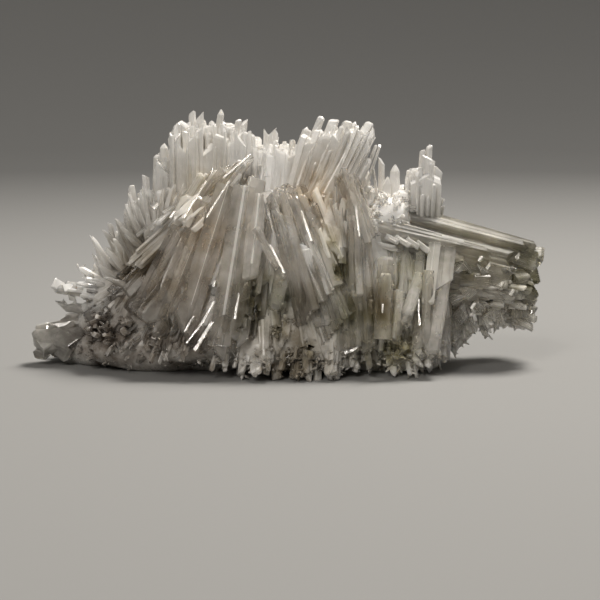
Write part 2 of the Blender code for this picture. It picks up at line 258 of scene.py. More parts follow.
        # thinner crystals that grew nearly parallel against a large one
        length = float(np.linalg.norm(tip - foot))
        axis = (tip - foot) / length
        side = unit(np.cross(axis, (0.0, 0.0, 1.0) if abs(axis[2]) < 0.9 else (0.0, 1.0, 0.0)))
        other = np.cross(axis, side)
        tone = draw.random()
        for k in range(strands):
            share = draw.uniform(*shares)
            away = draw.uniform(0, 2 * math.pi)
            out = side * math.cos(away) + other * math.sin(away)
            out = out * 0.5 * (1.0 - 0.8 * share) * width * draw.uniform(0.8, 1.05)
            lean = out / width + side * draw.uniform(-0.5, 0.5) + other * draw.uniform(-0.5, 0.5)
            low = foot + axis * length * draw.uniform(-0.02, 0.4) + out * 0.8
            high = foot + axis * length * (1.02 - 0.45 * draw.random() ** 1.6) + out + lean * splay * length
            self.addPrism(low, high, width * share, draw, draw.uniform(0.6, 1), glass=glass,
                          shade=min(1, max(0, tone + draw.uniform(-0.25, 0.25))), footScale=0.7, bend=0.008)

    def addTuft(self, foot, direction, length, width, draw, count, spread):
        # short crystals that fan out of one point
        for k in range(count):
            lean = anyWay(draw) * spread
            along = unit(direction + lean)
            low = foot + lean * width * 0.8
            high = low + along * length * draw.uniform(0.45, 1.0)
            self.addPrism(low, high, width * draw.uniform(0.5, 1.1), draw, draw.uniform(0.6, 1),
                          footScale=0.8, cap=draw.choice(("point", "point", "slope", "chip")))

    def addLump(self, centre, half, roughness, noiseSize):
        points, faces = roughBall(centre, half, roughness, noiseSize, 4)
        self.addBody(points, faces, (*seen(*centre), 0.4, 0, 0, 0, 0.4, 0, 0, 0, 0.4, 0.4, 0.0, 100.0, 0.0))

    def build(self, name, material):
        mesh = bpy.data.meshes.new(name)
        mesh.from_pydata((np.concatenate(self.points) * mm).tolist(), [], self.faces)
        writeValues(mesh, "crystal", "INT", "FACE", self.owners)
        piece = addObject(name, mesh)
        piece.modifiers.new("unite", "NODES").node_group = uniteNodes
        graph = bpy.context.evaluated_depsgraph_get()
        whole = bpy.data.meshes.new_from_object(piece.evaluated_get(graph))
        piece.modifiers.clear()
        piece.data = whole
        self.markFaces(whole)
        stainAndShade(whole)
        whole.materials.clear()
        whole.materials.append(material)
        triangles = sum(len(face.vertices) - 2 for face in whole.polygons)
        print("made", name, "from", len(self.crystals), "crystals,", triangles, "triangles")
        return piece

    def markFaces(self, mesh):
        # every face corner gets its place on its own crystal, for the striations, and the crystal's tone,
        # clearness and how far along it lies
        owners = readValues(mesh.attributes["crystal"].data, "value", kind=np.int32)
        sizes = readValues(mesh.polygons, "loop_total", kind=np.int32)
        corners = readValues(mesh.loops, "vertex_index", kind=np.int32)
        points = readValues(mesh.vertices, "co", 3) / mm
        own = np.array(self.crystals)[np.repeat(owners, sizes)]
        offset = points[corners] - own[:, 0:3]
        grain = np.stack([(offset * own[:, k:k + 3]).sum(1) for k in (3, 6, 9)], axis=1)
        tone = np.stack((own[:, 12], own[:, 13], grain[:, 2] / own[:, 14]), axis=1)
        grain += own[:, 15:16]
        writeValues(mesh, "grain", "FLOAT_VECTOR", "CORNER", grain.ravel())
        writeValues(mesh, "tone", "FLOAT_VECTOR", "CORNER", tone.ravel())
        mesh.attributes.remove(mesh.attributes["crystal"])


# Small hollows between the crystals: place and half sizes, both across, up and deep in mm
hollows = {
    "pits": [
        (-8, 17, -20, 0.9, 2.4, 5), (-5.3, 18.6, -20, 0.8, 2.6, 5), (-5.5, 13, -21, 1, 1.3, 5),
        (-9, 11, -21, 1.1, 0.8, 5), (11.8, 22.6, -19, 1, 1.8, 4), (20, 15, -19, 0.9, 2.2, 5),
        (27.5, 5.8, -20, 1, 1.3, 5), (25, 2.3, -21, 1.4, 0.8, 5), (41.5, 21.2, -11, 1.8, 0.7, 5),
        (-11, 8.3, -22, 1.1, 0.7, 4), (-2, 8, -22, 1, 0.8, 4), (5.5, 4, -21, 1.1, 0.8, 5),
        (-27.6, 10.2, -21, 0.7, 3, 5), (48, 14.5, -9, 1, 0.7, 5), (-51.5, 14.9, -2, 1, 0.8, 5),
        (-47.8, 15.4, -3, 0.8, 0.6, 5), (31.8, 13, -19, 0.5, 2.4, 5),
    ],
    "roughness": 1.0,
    "noiseSize": 1.1,
    "depth": 0.6,                     # share of the depth in the table
    "stainAndShadeSize": 0.9,                 # share of the two half sizes together
    # painted shade: the pits and the crystals round them are darkened, with an olive tint
    "stainAndShade": ((0.34, 0.31, 0.21), 0.6),
}


def buildPits():
    points, faces = [], []
    for across, up, deep, *half in hollows["pits"]:
        half[2] *= hollows["depth"]
        some, sides = roughBall((across, up, deep), half, hollows["roughness"], hollows["noiseSize"], 2)
        faces += [[index + len(points) for index in side] for side in sides]
        points += (some * mm).tolist()
    mesh = bpy.data.meshes.new("pits")
    mesh.from_pydata(points, [], faces)
    return bpy.data.objects.new("pits", mesh)


def makeNode(tree, kind, **values):
    # values are settings of the node, or default values of its sockets
    node = tree.nodes.new(kind)
    for key, value in values.items():
        if key in node.inputs:
            node.inputs[key].default_value = value
        else:
            setattr(node, key, value)
    return node


def buildUniteNodes():
    # geometry nodes: unite all overlapping crystals, then sink the pits and saw the underside flat
    tree = bpy.data.node_groups.new("unite", "GeometryNodeTree")
    for way in ("INPUT", "OUTPUT"):
        tree.interface.new_socket("Geometry", in_out=way, socket_type="NodeSocketGeometry")
    link = tree.links.new
    given = makeNode(tree, "NodeGroupInput")
    island = makeNode(tree, "GeometryNodeInputMeshIsland")
    split = makeNode(tree, "GeometryNodeSplitToInstances", domain="FACE")
    unite = makeNode(tree, "GeometryNodeMeshBoolean", operation="UNION", solver="MANIFOLD")
    block = makeNode(tree, "GeometryNodeMeshCube", Size=(0.4, 0.4, 0.1))
    lower = makeNode(tree, "GeometryNodeTransform", Translation=(0, 0, -0.05))
    pitted = makeNode(tree, "GeometryNodeObjectInfo", Object=pits)
    saw = makeNode(tree, "GeometryNodeMeshBoolean", operation="DIFFERENCE", solver="MANIFOLD")
    result = makeNode(tree, "NodeGroupOutput")
    link(given.outputs[0], split.inputs[0])
    link(island.outputs["Island Index"], split.inputs["Group ID"])
    link(split.outputs["Instances"], unite.inputs["Mesh 2"])
    link(unite.outputs["Mesh"], saw.inputs["Mesh 1"])
    link(block.outputs["Mesh"], lower.inputs["Geometry"])
    link(lower.outputs["Geometry"], saw.inputs["Mesh 2"])
    link(pitted.outputs["Geometry"], saw.inputs["Mesh 2"])
    link(saw.outputs["Mesh"], result.inputs[0])
    return tree


pits = buildPits()
uniteNodes = buildUniteNodes()

# Where the specimen is stained and where shade is painted on: across and up on the drawing, size in mm,
# colour, strength
stainsAndShade = [
    (-16, 30, 7, (0.98, 0.87, 0.74), 0.8),        # peach, upper left of the face
    (-20, 43, 6.5, (0.80, 0.72, 0.57), 0.8),      # cream under the crown
    (8, 41, 7, (0.82, 0.70, 0.54), 0.85),         # tan under the leaning fan
    (-35.5, 26, 4.5, (0.58, 0.53, 0.45), 0.9),    # roots of the left slope
    (-30, 22, 8, (0.56, 0.47, 0.34), 0.85),
    (-37, 30, 6, (0.60, 0.58, 0.54), 0.8),
    (-6, 15, 6, (0.56, 0.52, 0.34), 0.5),         # green-brown hollows, their darkness partly painted shade
    (12, 22, 3, (0.46, 0.43, 0.25), 0.7),
    (9, 28, 2.5, (0.60, 0.56, 0.38), 0.6),
    (10.8, 31.5, 3.4, (0.42, 0.37, 0.29), 1.2),
    (-2, 16, 2.6, (0.66, 0.74, 0.62), 0.6),
    (28, 22, 4.5, (0.74, 0.74, 0.54), 0.6),
    (15, 12, 6.5, (0.64, 0.63, 0.46), 0.55),
    (20, 15, 3, (0.40, 0.30, 0.20), 0.75),
    (24, 4, 6, (0.44, 0.40, 0.20), 0.7),
    (-56, 5, 4.5, (0.50, 0.49, 0.46), 1.6),       # grey end of the tail
    (-50, 17, 4.5, (0.96, 0.96, 0.95), 2.0),      # bright blocks above the tail
    (50, 31, 8, (0.40, 0.38, 0.32), 1.3),         # grey beam
    (37, 32, 6, (0.48, 0.46, 0.40), 1.2),
    (37.5, 23.5, 2.6, (0.94, 0.93, 0.91), 0.6),   # bright striated crystal under it
    (24, 36, 6, (0.98, 0.97, 0.95), 0.9),         # white shelf
    (57, 20.5, 5, (0.20, 0.19, 0.07), 1.4),       # yellow-green end
    (48, 17, 8, (0.62, 0.58, 0.50), 0.8),
    (47, 27, 7, (0.72, 0.70, 0.56), 0.5),
    (-40, 6, 11, (0.17, 0.14, 0.115), 1.3),       # grey-brown tail, darkened further as painted shade at the lower left
    (-28, 4, 9, (0.36, 0.31, 0.27), 0.75),
    (-38, -1, 8, (0.30, 0.26, 0.22), 1.0),
    (-22, -2, 7, (0.34, 0.30, 0.25), 1.0),
    (2, 2, 14, (0.30, 0.26, 0.20), 0.95),         # darker near the base
]
# each pit darkens the crystals around it on the drawing: painted shade in the hollows
for pit in hollows["pits"]:
    stainsAndShade.append((pit[0], pit[1], hollows["stainAndShadeSize"] * (pit[3] + pit[4]), *hollows["stainAndShade"]))


# stains and painted shade, blended at each point by where it lies on the drawing
def stainAndShade(mesh):
    points = readValues(mesh.vertices, "co", 3) / mm
    across = points[:, 0]
    up = points[:, 2] * cosDip + points[:, 1] * sinDip
    blend = np.zeros((len(points), 4), dtype=np.float32)
    for a, b, size, colour, strength in stainsAndShade:
        share = strength * np.exp(-((across - a) ** 2 + (up - b) ** 2) / size ** 2)
        blend[:, :3] += share[:, None] * colour
        blend[:, 3] += share
    blend[:, :3] /= np.maximum(blend[:, 3:], 1e-4)
    blend[:, 3] = np.minimum(blend[:, 3], 0.95)
    writeValues(mesh, "stainAndShade", "FLOAT_COLOR", "POINT", blend.ravel())


def settle(piece):
    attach(piece, "root")
    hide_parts("crystal_cluster")


def noiseOf(tree, place, scale, detail, roughness):
    texture = makeNode(tree, "ShaderNodeTexNoise", Scale=scale, Detail=detail, Roughness=roughness)
    tree.links.new(place, texture.inputs["Vector"])
    return texture.outputs["Fac"]


def stretch(tree, source, fromMin, fromMax, toMin, toMax):
    ranges = {"From Min": fromMin, "From Max": fromMax, "To Min": toMin, "To Max": toMax}
    node = makeNode(tree, "ShaderNodeMapRange", **ranges)
    tree.links.new(source, node.inputs["Value"])
    return node.outputs["Result"]


def combine(tree, operation, first, second):
    node = makeNode(tree, "ShaderNodeMath", operation=operation, use_clamp=True)
    tree.links.new(first, node.inputs[0])
    tree.links.new(second, node.inputs[1])
    return node.outputs[0]


def crystalFinish(name, look):
    # glassy prism: clear to milky along its length, finely striated, stained and given painted shade by where
    # it grew, with a partly painted glow at its tips
    made = bpy.data.materials.new(name)
    made.use_nodes = True
    tree = made.node_tree
    link = tree.links.new
    shader = tree.nodes["Principled BSDF"]
    inside = makeNode(tree, "ShaderNodeVolumeAbsorption", Density=look["depthTint"])
    inside.inputs["Color"].default_value = (*look["insideTint"], 1)
    link(inside.outputs[0], tree.nodes["Material Output"].inputs["Volume"])
    shader.inputs["IOR"].default_value = look["ior"]
    shader.inputs["Specular IOR Level"].default_value = look["level"]
    shader.inputs["Subsurface Weight"].default_value = look["milk"]
    shader.inputs["Subsurface Scale"].default_value = look["milkDepth"] * mm
    shader.inputs["Subsurface Radius"].default_value = (1.0, 0.95, 0.86)
    place = makeNode(tree, "ShaderNodeTexCoord").outputs["Object"]
    parts = makeNode(tree, "ShaderNodeSeparateXYZ")
    link(makeNode(tree, "ShaderNodeAttribute", attribute_name="tone").outputs["Vector"], parts.inputs[0])
    shade, glass, height = parts.outputs
    stainedAndShaded = makeNode(tree, "ShaderNodeAttribute", attribute_name="stainAndShade")
    # each crystal has its own tone, and clouds drift through all of them
    cloud = noiseOf(tree, place, look["cloudScale"], 5.0, 0.55)
    drift = stretch(tree, cloud, 0, 1, -look["cloudShare"], look["cloudShare"])
    tints = makeNode(tree, "ShaderNodeValToRGB")
    ramp = tints.color_ramp
    ramp.elements[0].color = (*look["tints"][0], 1)
    ramp.elements[1].color = (*look["tints"][-1], 1)
    for i, tint in enumerate(look["tints"][1:-1]):
        ramp.elements.new((i + 1) / (len(look["tints"]) - 1)).color = (*tint, 1)
    link(combine(tree, "ADD", shade, drift), tints.inputs["Fac"])
    # iron and clay stains and painted shade, uneven at their edges
    uneven = stretch(tree, noiseOf(tree, place, look["stainAndShadeScale"], 6.0, 0.6), 0.35, 0.62, 0.45, 1.15)
    stainAndShadeMix = makeNode(tree, "ShaderNodeMix", data_type="RGBA")
    link(combine(tree, "MULTIPLY", stainedAndShaded.outputs["Alpha"], uneven), stainAndShadeMix.inputs["Factor"])
    link(tints.outputs["Color"], stainAndShadeMix.inputs["A"])
    link(stainedAndShaded.outputs["Color"], stainAndShadeMix.inputs["B"])
    # frosted tips, partly a painted glow where the tips catch the light
    frostAndGlowMix = makeNode(tree, "ShaderNodeMix", data_type="RGBA")
    frostAndGlowMix.inputs["B"].default_value = (*look["frostAndGlowTint"], 1)
    link(stretch(tree, height, look["frostAndGlowFrom"], 1, 0, look["frostAndGlow"]), frostAndGlowMix.inputs["Factor"])
    link(stainAndShadeMix.outputs["Result"], frostAndGlowMix.inputs["A"])
    link(frostAndGlowMix.outputs["Result"], shader.inputs["Base Color"])
    # veils of tiny inclusions make parts of a crystal milky
    misty = stretch(tree, noiseOf(tree, place, look["veilScale"], 5.0, 0.6), 0.35, 0.65, *look["clear"])
    link(combine(tree, "MULTIPLY", misty, glass), shader.inputs["Transmission Weight"])
    # lengthwise striations
    grain = makeNode(tree, "ShaderNodeAttribute", attribute_name="grain").outputs["Vector"]
    lines = noiseOf(tree, grain, look["linesPerMm"], 3.0, 0.6)
    bump = makeNode(tree, "ShaderNodeBump", Strength=look["lineStrength"], Distance=look["lineDepth"] * mm)
    link(lines, bump.inputs["Height"])
    link(bump.outputs["Normal"], shader.inputs["Normal"])
    link(stretch(tree, lines, 0.35, 0.7, *look["roughness"]), shader.inputs["Roughness"])
    return made


milkyLook = {
    "ior": 1.51,
    "level": 0.5,
    "milk": 0.3,
    "milkDepth": 2.6,             # mm
    "insideTint": (0.86, 0.84, 0.76),
    "depthTint": 50.0,
    "tints": [(0.93, 0.91, 0.875), (0.96, 0.95, 0.93), (0.94, 0.92, 0.89), (0.975, 0.965, 0.95)],
    "frostAndGlowTint": (0.975, 0.97, 0.955),
    "frostAndGlow": 0.4,
    "frostAndGlowFrom": 0.6,             # share of the crystal's length
    "cloudScale": 130.0,
    "cloudShare": 0.5,
    "stainAndShadeScale": 160.0,
    "veilScale": 160.0,
    "clear": (0.35, 0.8),
    "linesPerMm": 4.0,
    "lineStrength": 0.4,
    "lineDepth": 0.07,            # mm
    "roughness": (0.08, 0.3),
}
clearLook = {
    **milkyLook,
    "milk": 0.4,
    "insideTint": (0.86, 0.80, 0.70),
    "tints": [(0.94, 0.91, 0.86), (0.975, 0.955, 0.925), (0.95, 0.92, 0.87), (0.985, 0.975, 0.955)],
    "frostAndGlow": 0.2,
    "frostAndGlowFrom": 0.75,
    "clear": (0.78, 1.0),
    "roughness": (0.03, 0.2),
}
beamLook = {
    **clearLook,
    "level": 0.2,
    "milk": 0.1,
    "tints": [(0.86, 0.845, 0.80), (0.92, 0.91, 0.88), (0.88, 0.86, 0.81), (0.94, 0.93, 0.91)],
    "clear": (0.85, 1.0),
    "roughness": (0.38, 0.6),
    "frostAndGlow": 0.0,
}
endLook = {
    **clearLook,
    "tints": [(0.84, 0.82, 0.76), (0.90, 0.89, 0.85), (0.85, 0.83, 0.76), (0.95, 0.94, 0.91)],
    "clear": (0.7, 1.0),
    "roughness": (0.12, 0.35),
}
crustLook = {
    **clearLook,
    "tints": [(0.78, 0.74, 0.68), (0.88, 0.86, 0.82), (0.80, 0.76, 0.68), (0.94, 0.93, 0.90)],
    "clear": (0.6, 0.95),
    "frostAndGlow": 0.1,
}
milky = crystalFinish("milkyScolecite", milkyLook)
clear = crystalFinish("clearScolecite", clearLook)
smooth = crystalFinish("beamScolecite", beamLook)
green = crystalFinish("endScolecite", endLook)
drusy = crystalFinish("drusyScolecite", crustLook)

# What the sprays share; each piece below changes what differs. All places are across, up and deep in mm.
# A fan has its name, first and last foot, first and last tip, count, widths, thickness, raggedness, scatter.
# A single or flame has its foot, tip and width, and a slab may have a clearness of its own.
plainSpray = {
    "flat": (0.7, 1.0),         # a crystal's thickness over its width
    "stout": 1.0,               # its width over the width in the table
    "stray": 0.3,               # mm, of the tips
    "glass": 0.8,               # clearness
    "clearness": {},            # of single fans
    "strands": (1, 2),          # thinner crystals against each large one
    "splay": 0.05,
    "hearts": 0.5,              # share of the crystals that have a milky core
    "sunk": {},                 # mm that a fan is set back
    "sunkLonger": 0.6,          # share of that by which its crystals are longer
    "sunkFill": 0.3,            # share of that for the tips of its thin crystals
    "tucked": {},               # mm that only its feet are set back
    "tuckedLonger": (2.0, 6.0),
    "tuckedFill": 4.0,
    "leaves": (),               # fans of leaf-shaped crystals
    "fillShare": 7,             # thin crystals to each large one
    "fewer": {},                # the same for single fans
    "fillWidths": (0.5, 1.5),
    "fillStray": (0.4, 2.0),
    "fillRagged": 0.4,
    "slabGlass": (0.7, 1.0),
    "slabStrands": 1,
    "heartFrom": 2.2,           # mm, the thinnest single crystal with a milky core
    "strandsTo": 5.0,           # mm, the widest with thinner ones against it
    "sideFlames": 3,
    "streaks": [],
    "flames": [],
    "blocks": [],
}
leafShape = [(0.3, 1.15), (0.65, 1.2)]    # share of the length, share of the width
lobeShape = [(0.45, 0.95), (0.9, 1.05)]
flameShape = [(0.25, 1.1), (0.55, 0.95), (0.85, 0.6)]
hearts = []    # milky cores for the mass
grown = []     # foot and tip of each large crystal

# The crown of upright crystals, the fan that leans right and the left slope
crown = {
    **plainSpray,
    "flat": (0.45, 0.9),
    "stout": 1.15,
    "stray": 0.35,
    "glass": 0.4,
    "strands": (2, 4),
    "splay": 0.02,
    "hearts": 0.4,
    "sunk": {"slope_fan": 3, "slope_low": 3, "shelf": 3},
    "leaves": ("slope_fan", "slope_low"),
    "fillShare": 14,
    "fewer": {"slope_fan": 3, "slope_low": 3, "shelf": 6, "left_column": 10,
              "crown_fine": 0, "lean_fine": 0, "saddle_fine": 0, "spire_fine": 0},
    "fillStray": (0.3, 1.4),
    "fillRagged": 0.25,
    "slabGlass": (0.25, 0.55),
    "slabStrands": 4,
    "fans": [
        ("left_column", (-31, 30, -3, -26, 33, -5), (-30, 49, -3, -27.6, 51, -3),
         6, (2.2, 2.8), 9, 0.05, 0.3),
        ("crown_left", (-24, 34, -5, -15, 37, -7), (-23.5, 56.8, -2, -15, 57.6, -3),
         9, (2.2, 3.2), 13, 0.06, 0.4),
        ("crown_right", (-15, 36, -7, -8, 40, -7), (-14, 57.2, -2, -7.4, 53.4, -3), 8, (2, 3), 13, 0.06, 0.4),
        ("saddle", (-8, 38, -8, 5, 38, -8), (-5.4, 52, -3, 3, 52.2, -3), 8, (2.2, 2.8), 12, 0.06, 0.3),
        ("lean_inner", (-2, 36, -9, 8, 38, -9), (4.2, 53.6, -4, 13.5, 56.4, -4), 9, (2, 2.8), 13, 0.06, 0.4),
        ("lean_outer", (4, 37, -10, 9.6, 40, -10), (13, 55.8, -4, 18.8, 55.6, -5),
         7, (2, 2.8), 10, 0.05, 0.3),
        ("slope_fan", (-35, 27, -4, -31, 30, -4), (-38.6, 38.2, -4, -32.4, 42.4, -3),
         7, (1.8, 2.4), 9, 0.08, 0.3),
        ("slope_low", (-38, 20, -4, -35, 24, -5), (-44.2, 24.6, -3, -39.4, 34.2, -3),
         6, (2.2, 2.8), 8, 0.1, 0.4),
        ("shelf", (15, 26, -7, 28, 27, -6), (16.6, 41.4, -5, 27.6, 41.2, -4), 9, (2.4, 3), 11, 0.05, 0.3),
        ("spire", (28, 28, -2, 35, 29, -2), (29, 44.8, -1, 34.4, 49.2, -1), 8, (1.9, 2.7), 7, 0.07, 0.3),
        ("crown_fine", (-27, 34, -7, -8, 38, -8), (-26, 57, -2, -9, 54.6, -3), 42, (0.4, 1), 5, 0.16, 0.6),
        ("lean_fine", (0, 39, -9, 13, 40, -11), (5, 54.6, -4, 20, 56.6, -5.5), 26, (0.4, 1.1), 4, 0.2, 0.6),
        ("saddle_fine", (-8, 39, -8.5, 3, 39, -9), (-6, 52, -4, 4, 52.6, -4), 20, (0.4, 1), 4, 0.16, 0.5),
        ("spire_fine", (29, 31, -4, 35, 31, -4), (28.6, 45, -3, 35.4, 48, -3), 14, (0.5, 1.1), 2, 0.35, 0.5),
        ("far_crown", (-18, 36, 5, 14, 34, 5), (-25, 52, 12, 19, 49, 12), 8, (2.4, 3.4), 4, 0.15, 2.5),
    ],
    "singles": [
        ("slab", [
            (-28.5, 31, -6, -29.3, 48.2, -4, 3.4), (-26, 32, -6.6, -26.6, 54.6, -4, 2.8),
            (-23.8, 33, -7, -24.4, 52.6, -4.2, 3.4), (-21.2, 34, -7.5, -21.6, 55.6, -4.4, 3.4),
            (-18.6, 35, -7.2, -18.6, 53.4, -4.2, 3.4), (-16.2, 35, -7.6, -15.6, 55.2, -4.4, 3.2),
            (-14, 36, -7.2, -13, 53, -4.2, 3.2), (-11.8, 36, -7.6, -10.8, 54.8, -4.6, 2.8),
            (-9.8, 37, -7.4, -8.8, 51.4, -4.4, 3.2), (-7.2, 38, -7.8, -6.2, 50.6, -4.8, 3),
            (-4.6, 38, -8, -3.8, 49.6, -4.8, 3.4), (-1.8, 38, -8, -1, 50.6, -5, 3.2),
            (0.8, 38, -8, 2, 50, -5, 3.2), (1.6, 38, -8.5, 6, 52.4, -5.4, 3.2),
            (3.8, 38, -8.5, 9.4, 54.6, -5.4, 3.4), (6, 38, -9, 12.4, 54, -5.8, 3.2),
            (8.2, 38, -9.5, 15.6, 56, -6.2, 3.2), (10.4, 39, -9.8, 18, 54.6, -6.4, 3.2),
            (12.4, 39, -10.2, 20.2, 54.4, -6.8, 2.8), (14, 38, -10.5, 18.8, 48.8, -7.4, 3),
            (29.6, 29, -3, 28.9, 42, -3, 3.2), (31.6, 29, -3.4, 31.4, 45.4, -3, 4.4),
            (34, 29, -3, 34.7, 46, -3, 4), (32.8, 36, -2.6, 33.3, 49.8, -2, 2.6),
            (23.4, 30.2, -10.2, 26.8, 28.4, -11.2, 1.3, 0.5), (25.6, 30, -10.2, 29.2, 27.8, -11.3, 1.2, 0.3),
            (28.2, 29.4, -10.2, 31.6, 27.3, -11.3, 1.3, 0.5),
            (30.6, 28.8, -10.2, 33.8, 26.4, -11.3, 1.3, 0.3),
        ]),
        ("plain", [
            (-40.4, 24, -2, -41.8, 33.6, -3, 1.1), (-34.8, 30, -2, -36.9, 42.4, -2, 1.4),
            (-32.8, 32, -1, -33.4, 44.7, -1, 1.4), (-28.8, 38, -1, -29.1, 52.3, -1, 1.7),
            (-25.4, 42, -4, -27.2, 56.6, -3, 2.2), (-25, 42, -3, -26, 56.9, -2, 1.8),
            (-23.6, 42, -3, -24.5, 57.8, -1, 2.2), (-23, 46, -1, -23.4, 57.2, 0, 1.3),
            (-22.2, 44, 0, -22.4, 60, 1, 1.5), (-20.4, 46, 1, -20.6, 59.6, 1, 2),
            (-17.6, 46, 0, -15.4, 60.2, 1, 1.6), (-12.4, 48, 0, -11.4, 58, 0, 1.3),
            (-11, 48, 1, -10, 57.9, 1, 1.4), (-4.9, 46, -3, -4.6, 55.5, -1, 1.6),
            (-3.8, 46, -3, -3.4, 55.8, -1, 1.7), (-3.6, 46, -3, -2.7, 55.2, -1, 1.2),
            (0, 43, -5, 4.9, 56, -3, 1.6), (2.2, 44, -3, 8.3, 58.5, -1, 1.7),
            (6, 44, -3, 11.4, 58.2, -1, 2.3), (8.6, 44, -3, 14.6, 57.6, -1, 2.2),
            (10.4, 44, -2, 16.3, 57.3, -1, 1.6), (11, 42, -7, 19.8, 57, -4, 2),
            (11.8, 41, -8, 21.2, 55.6, -5, 1.7), (22.2, 36, -2, 22.4, 48.8, -1, 1.3),
        ]),
        ("leaf", [
            (25.2, 36, -2, 25.6, 47.2, -1, 2), (23, 35, -3, 23.8, 44.3, -3, 1.8),
        ]),
        ("plain", [
            (26.6, 36, -1, 27, 42.6, -1, 1.4), (31, 36, 0, 32.2, 50.8, 0, 1.5),
            (33, 36, 0, 33.7, 52, 0, 1.3), (33.4, 32, -1, 35.9, 46.6, -1, 2), (33, 33, 0, 36.7, 39.4, 0, 2),
            (34, 32, 0, 37.2, 37.4, 0, 1.8),
        ]),
    ],
    "flames": [
        (-33.6, 30, -4, -38.3, 38, -5, 1.7), (-33.2, 30, -5, -37.4, 40.8, -4, 1.6),
        (-32.8, 30, -5, -36, 38.6, -8, 1.3), (-32, 30, -5, -34.2, 41.6, -5, 1.8),
        (-31.4, 29, -6, -33, 36, -9, 1.5), (-31, 31, -5, -31.8, 40.6, -7, 1.5),
        (-34.6, 28, -6, -39.4, 32.4, -8, 1.5), (-35.6, 27, -3, -40.6, 34.6, -3, 2.2),
        (-36, 27, -3, -38.4, 35.6, -3, 1.6), (-38.6, 25, -3, -43.6, 31.8, -4, 2),
        (-38.6, 24, -6, -41, 30, -8, 1.8), (-38, 22, -6, -43.2, 27.6, -8, 1.6),
        (-42, 20.4, -3, -46.6, 30.5, -4, 2.6), (-39.6, 19, -4, -45, 23.6, -5, 1.9),
        (-37.6, 18, -7, -43.2, 20.6, -9, 1.7), (-30, 33, -6, -29, 41.8, -9, 1.3),
        (-29, 33, -7, -26.6, 42.6, -9, 1.2), (-27.6, 34, -7, -24.4, 42.8, -9, 1.1),
    ],
    "blocks": [    # middle, size, lean
        (-53.6, 18.4, -2, 2.4, 0.9), (-51.4, 17.8, -2, 2.2, 0.7), (-48.8, 17.2, -2, 2.4, 0.8),
        (-45.6, 16.6, -3, 3.6, 0.6), (-52.8, 14.2, -2, 2, 0.7), (-50.4, 13.2, -2, 2.2, 0.6),
        (-46.2, 14, -3, 3.4, 0.7), (-54.2, 17.4, -1, 2, 0.9),
    ],
}

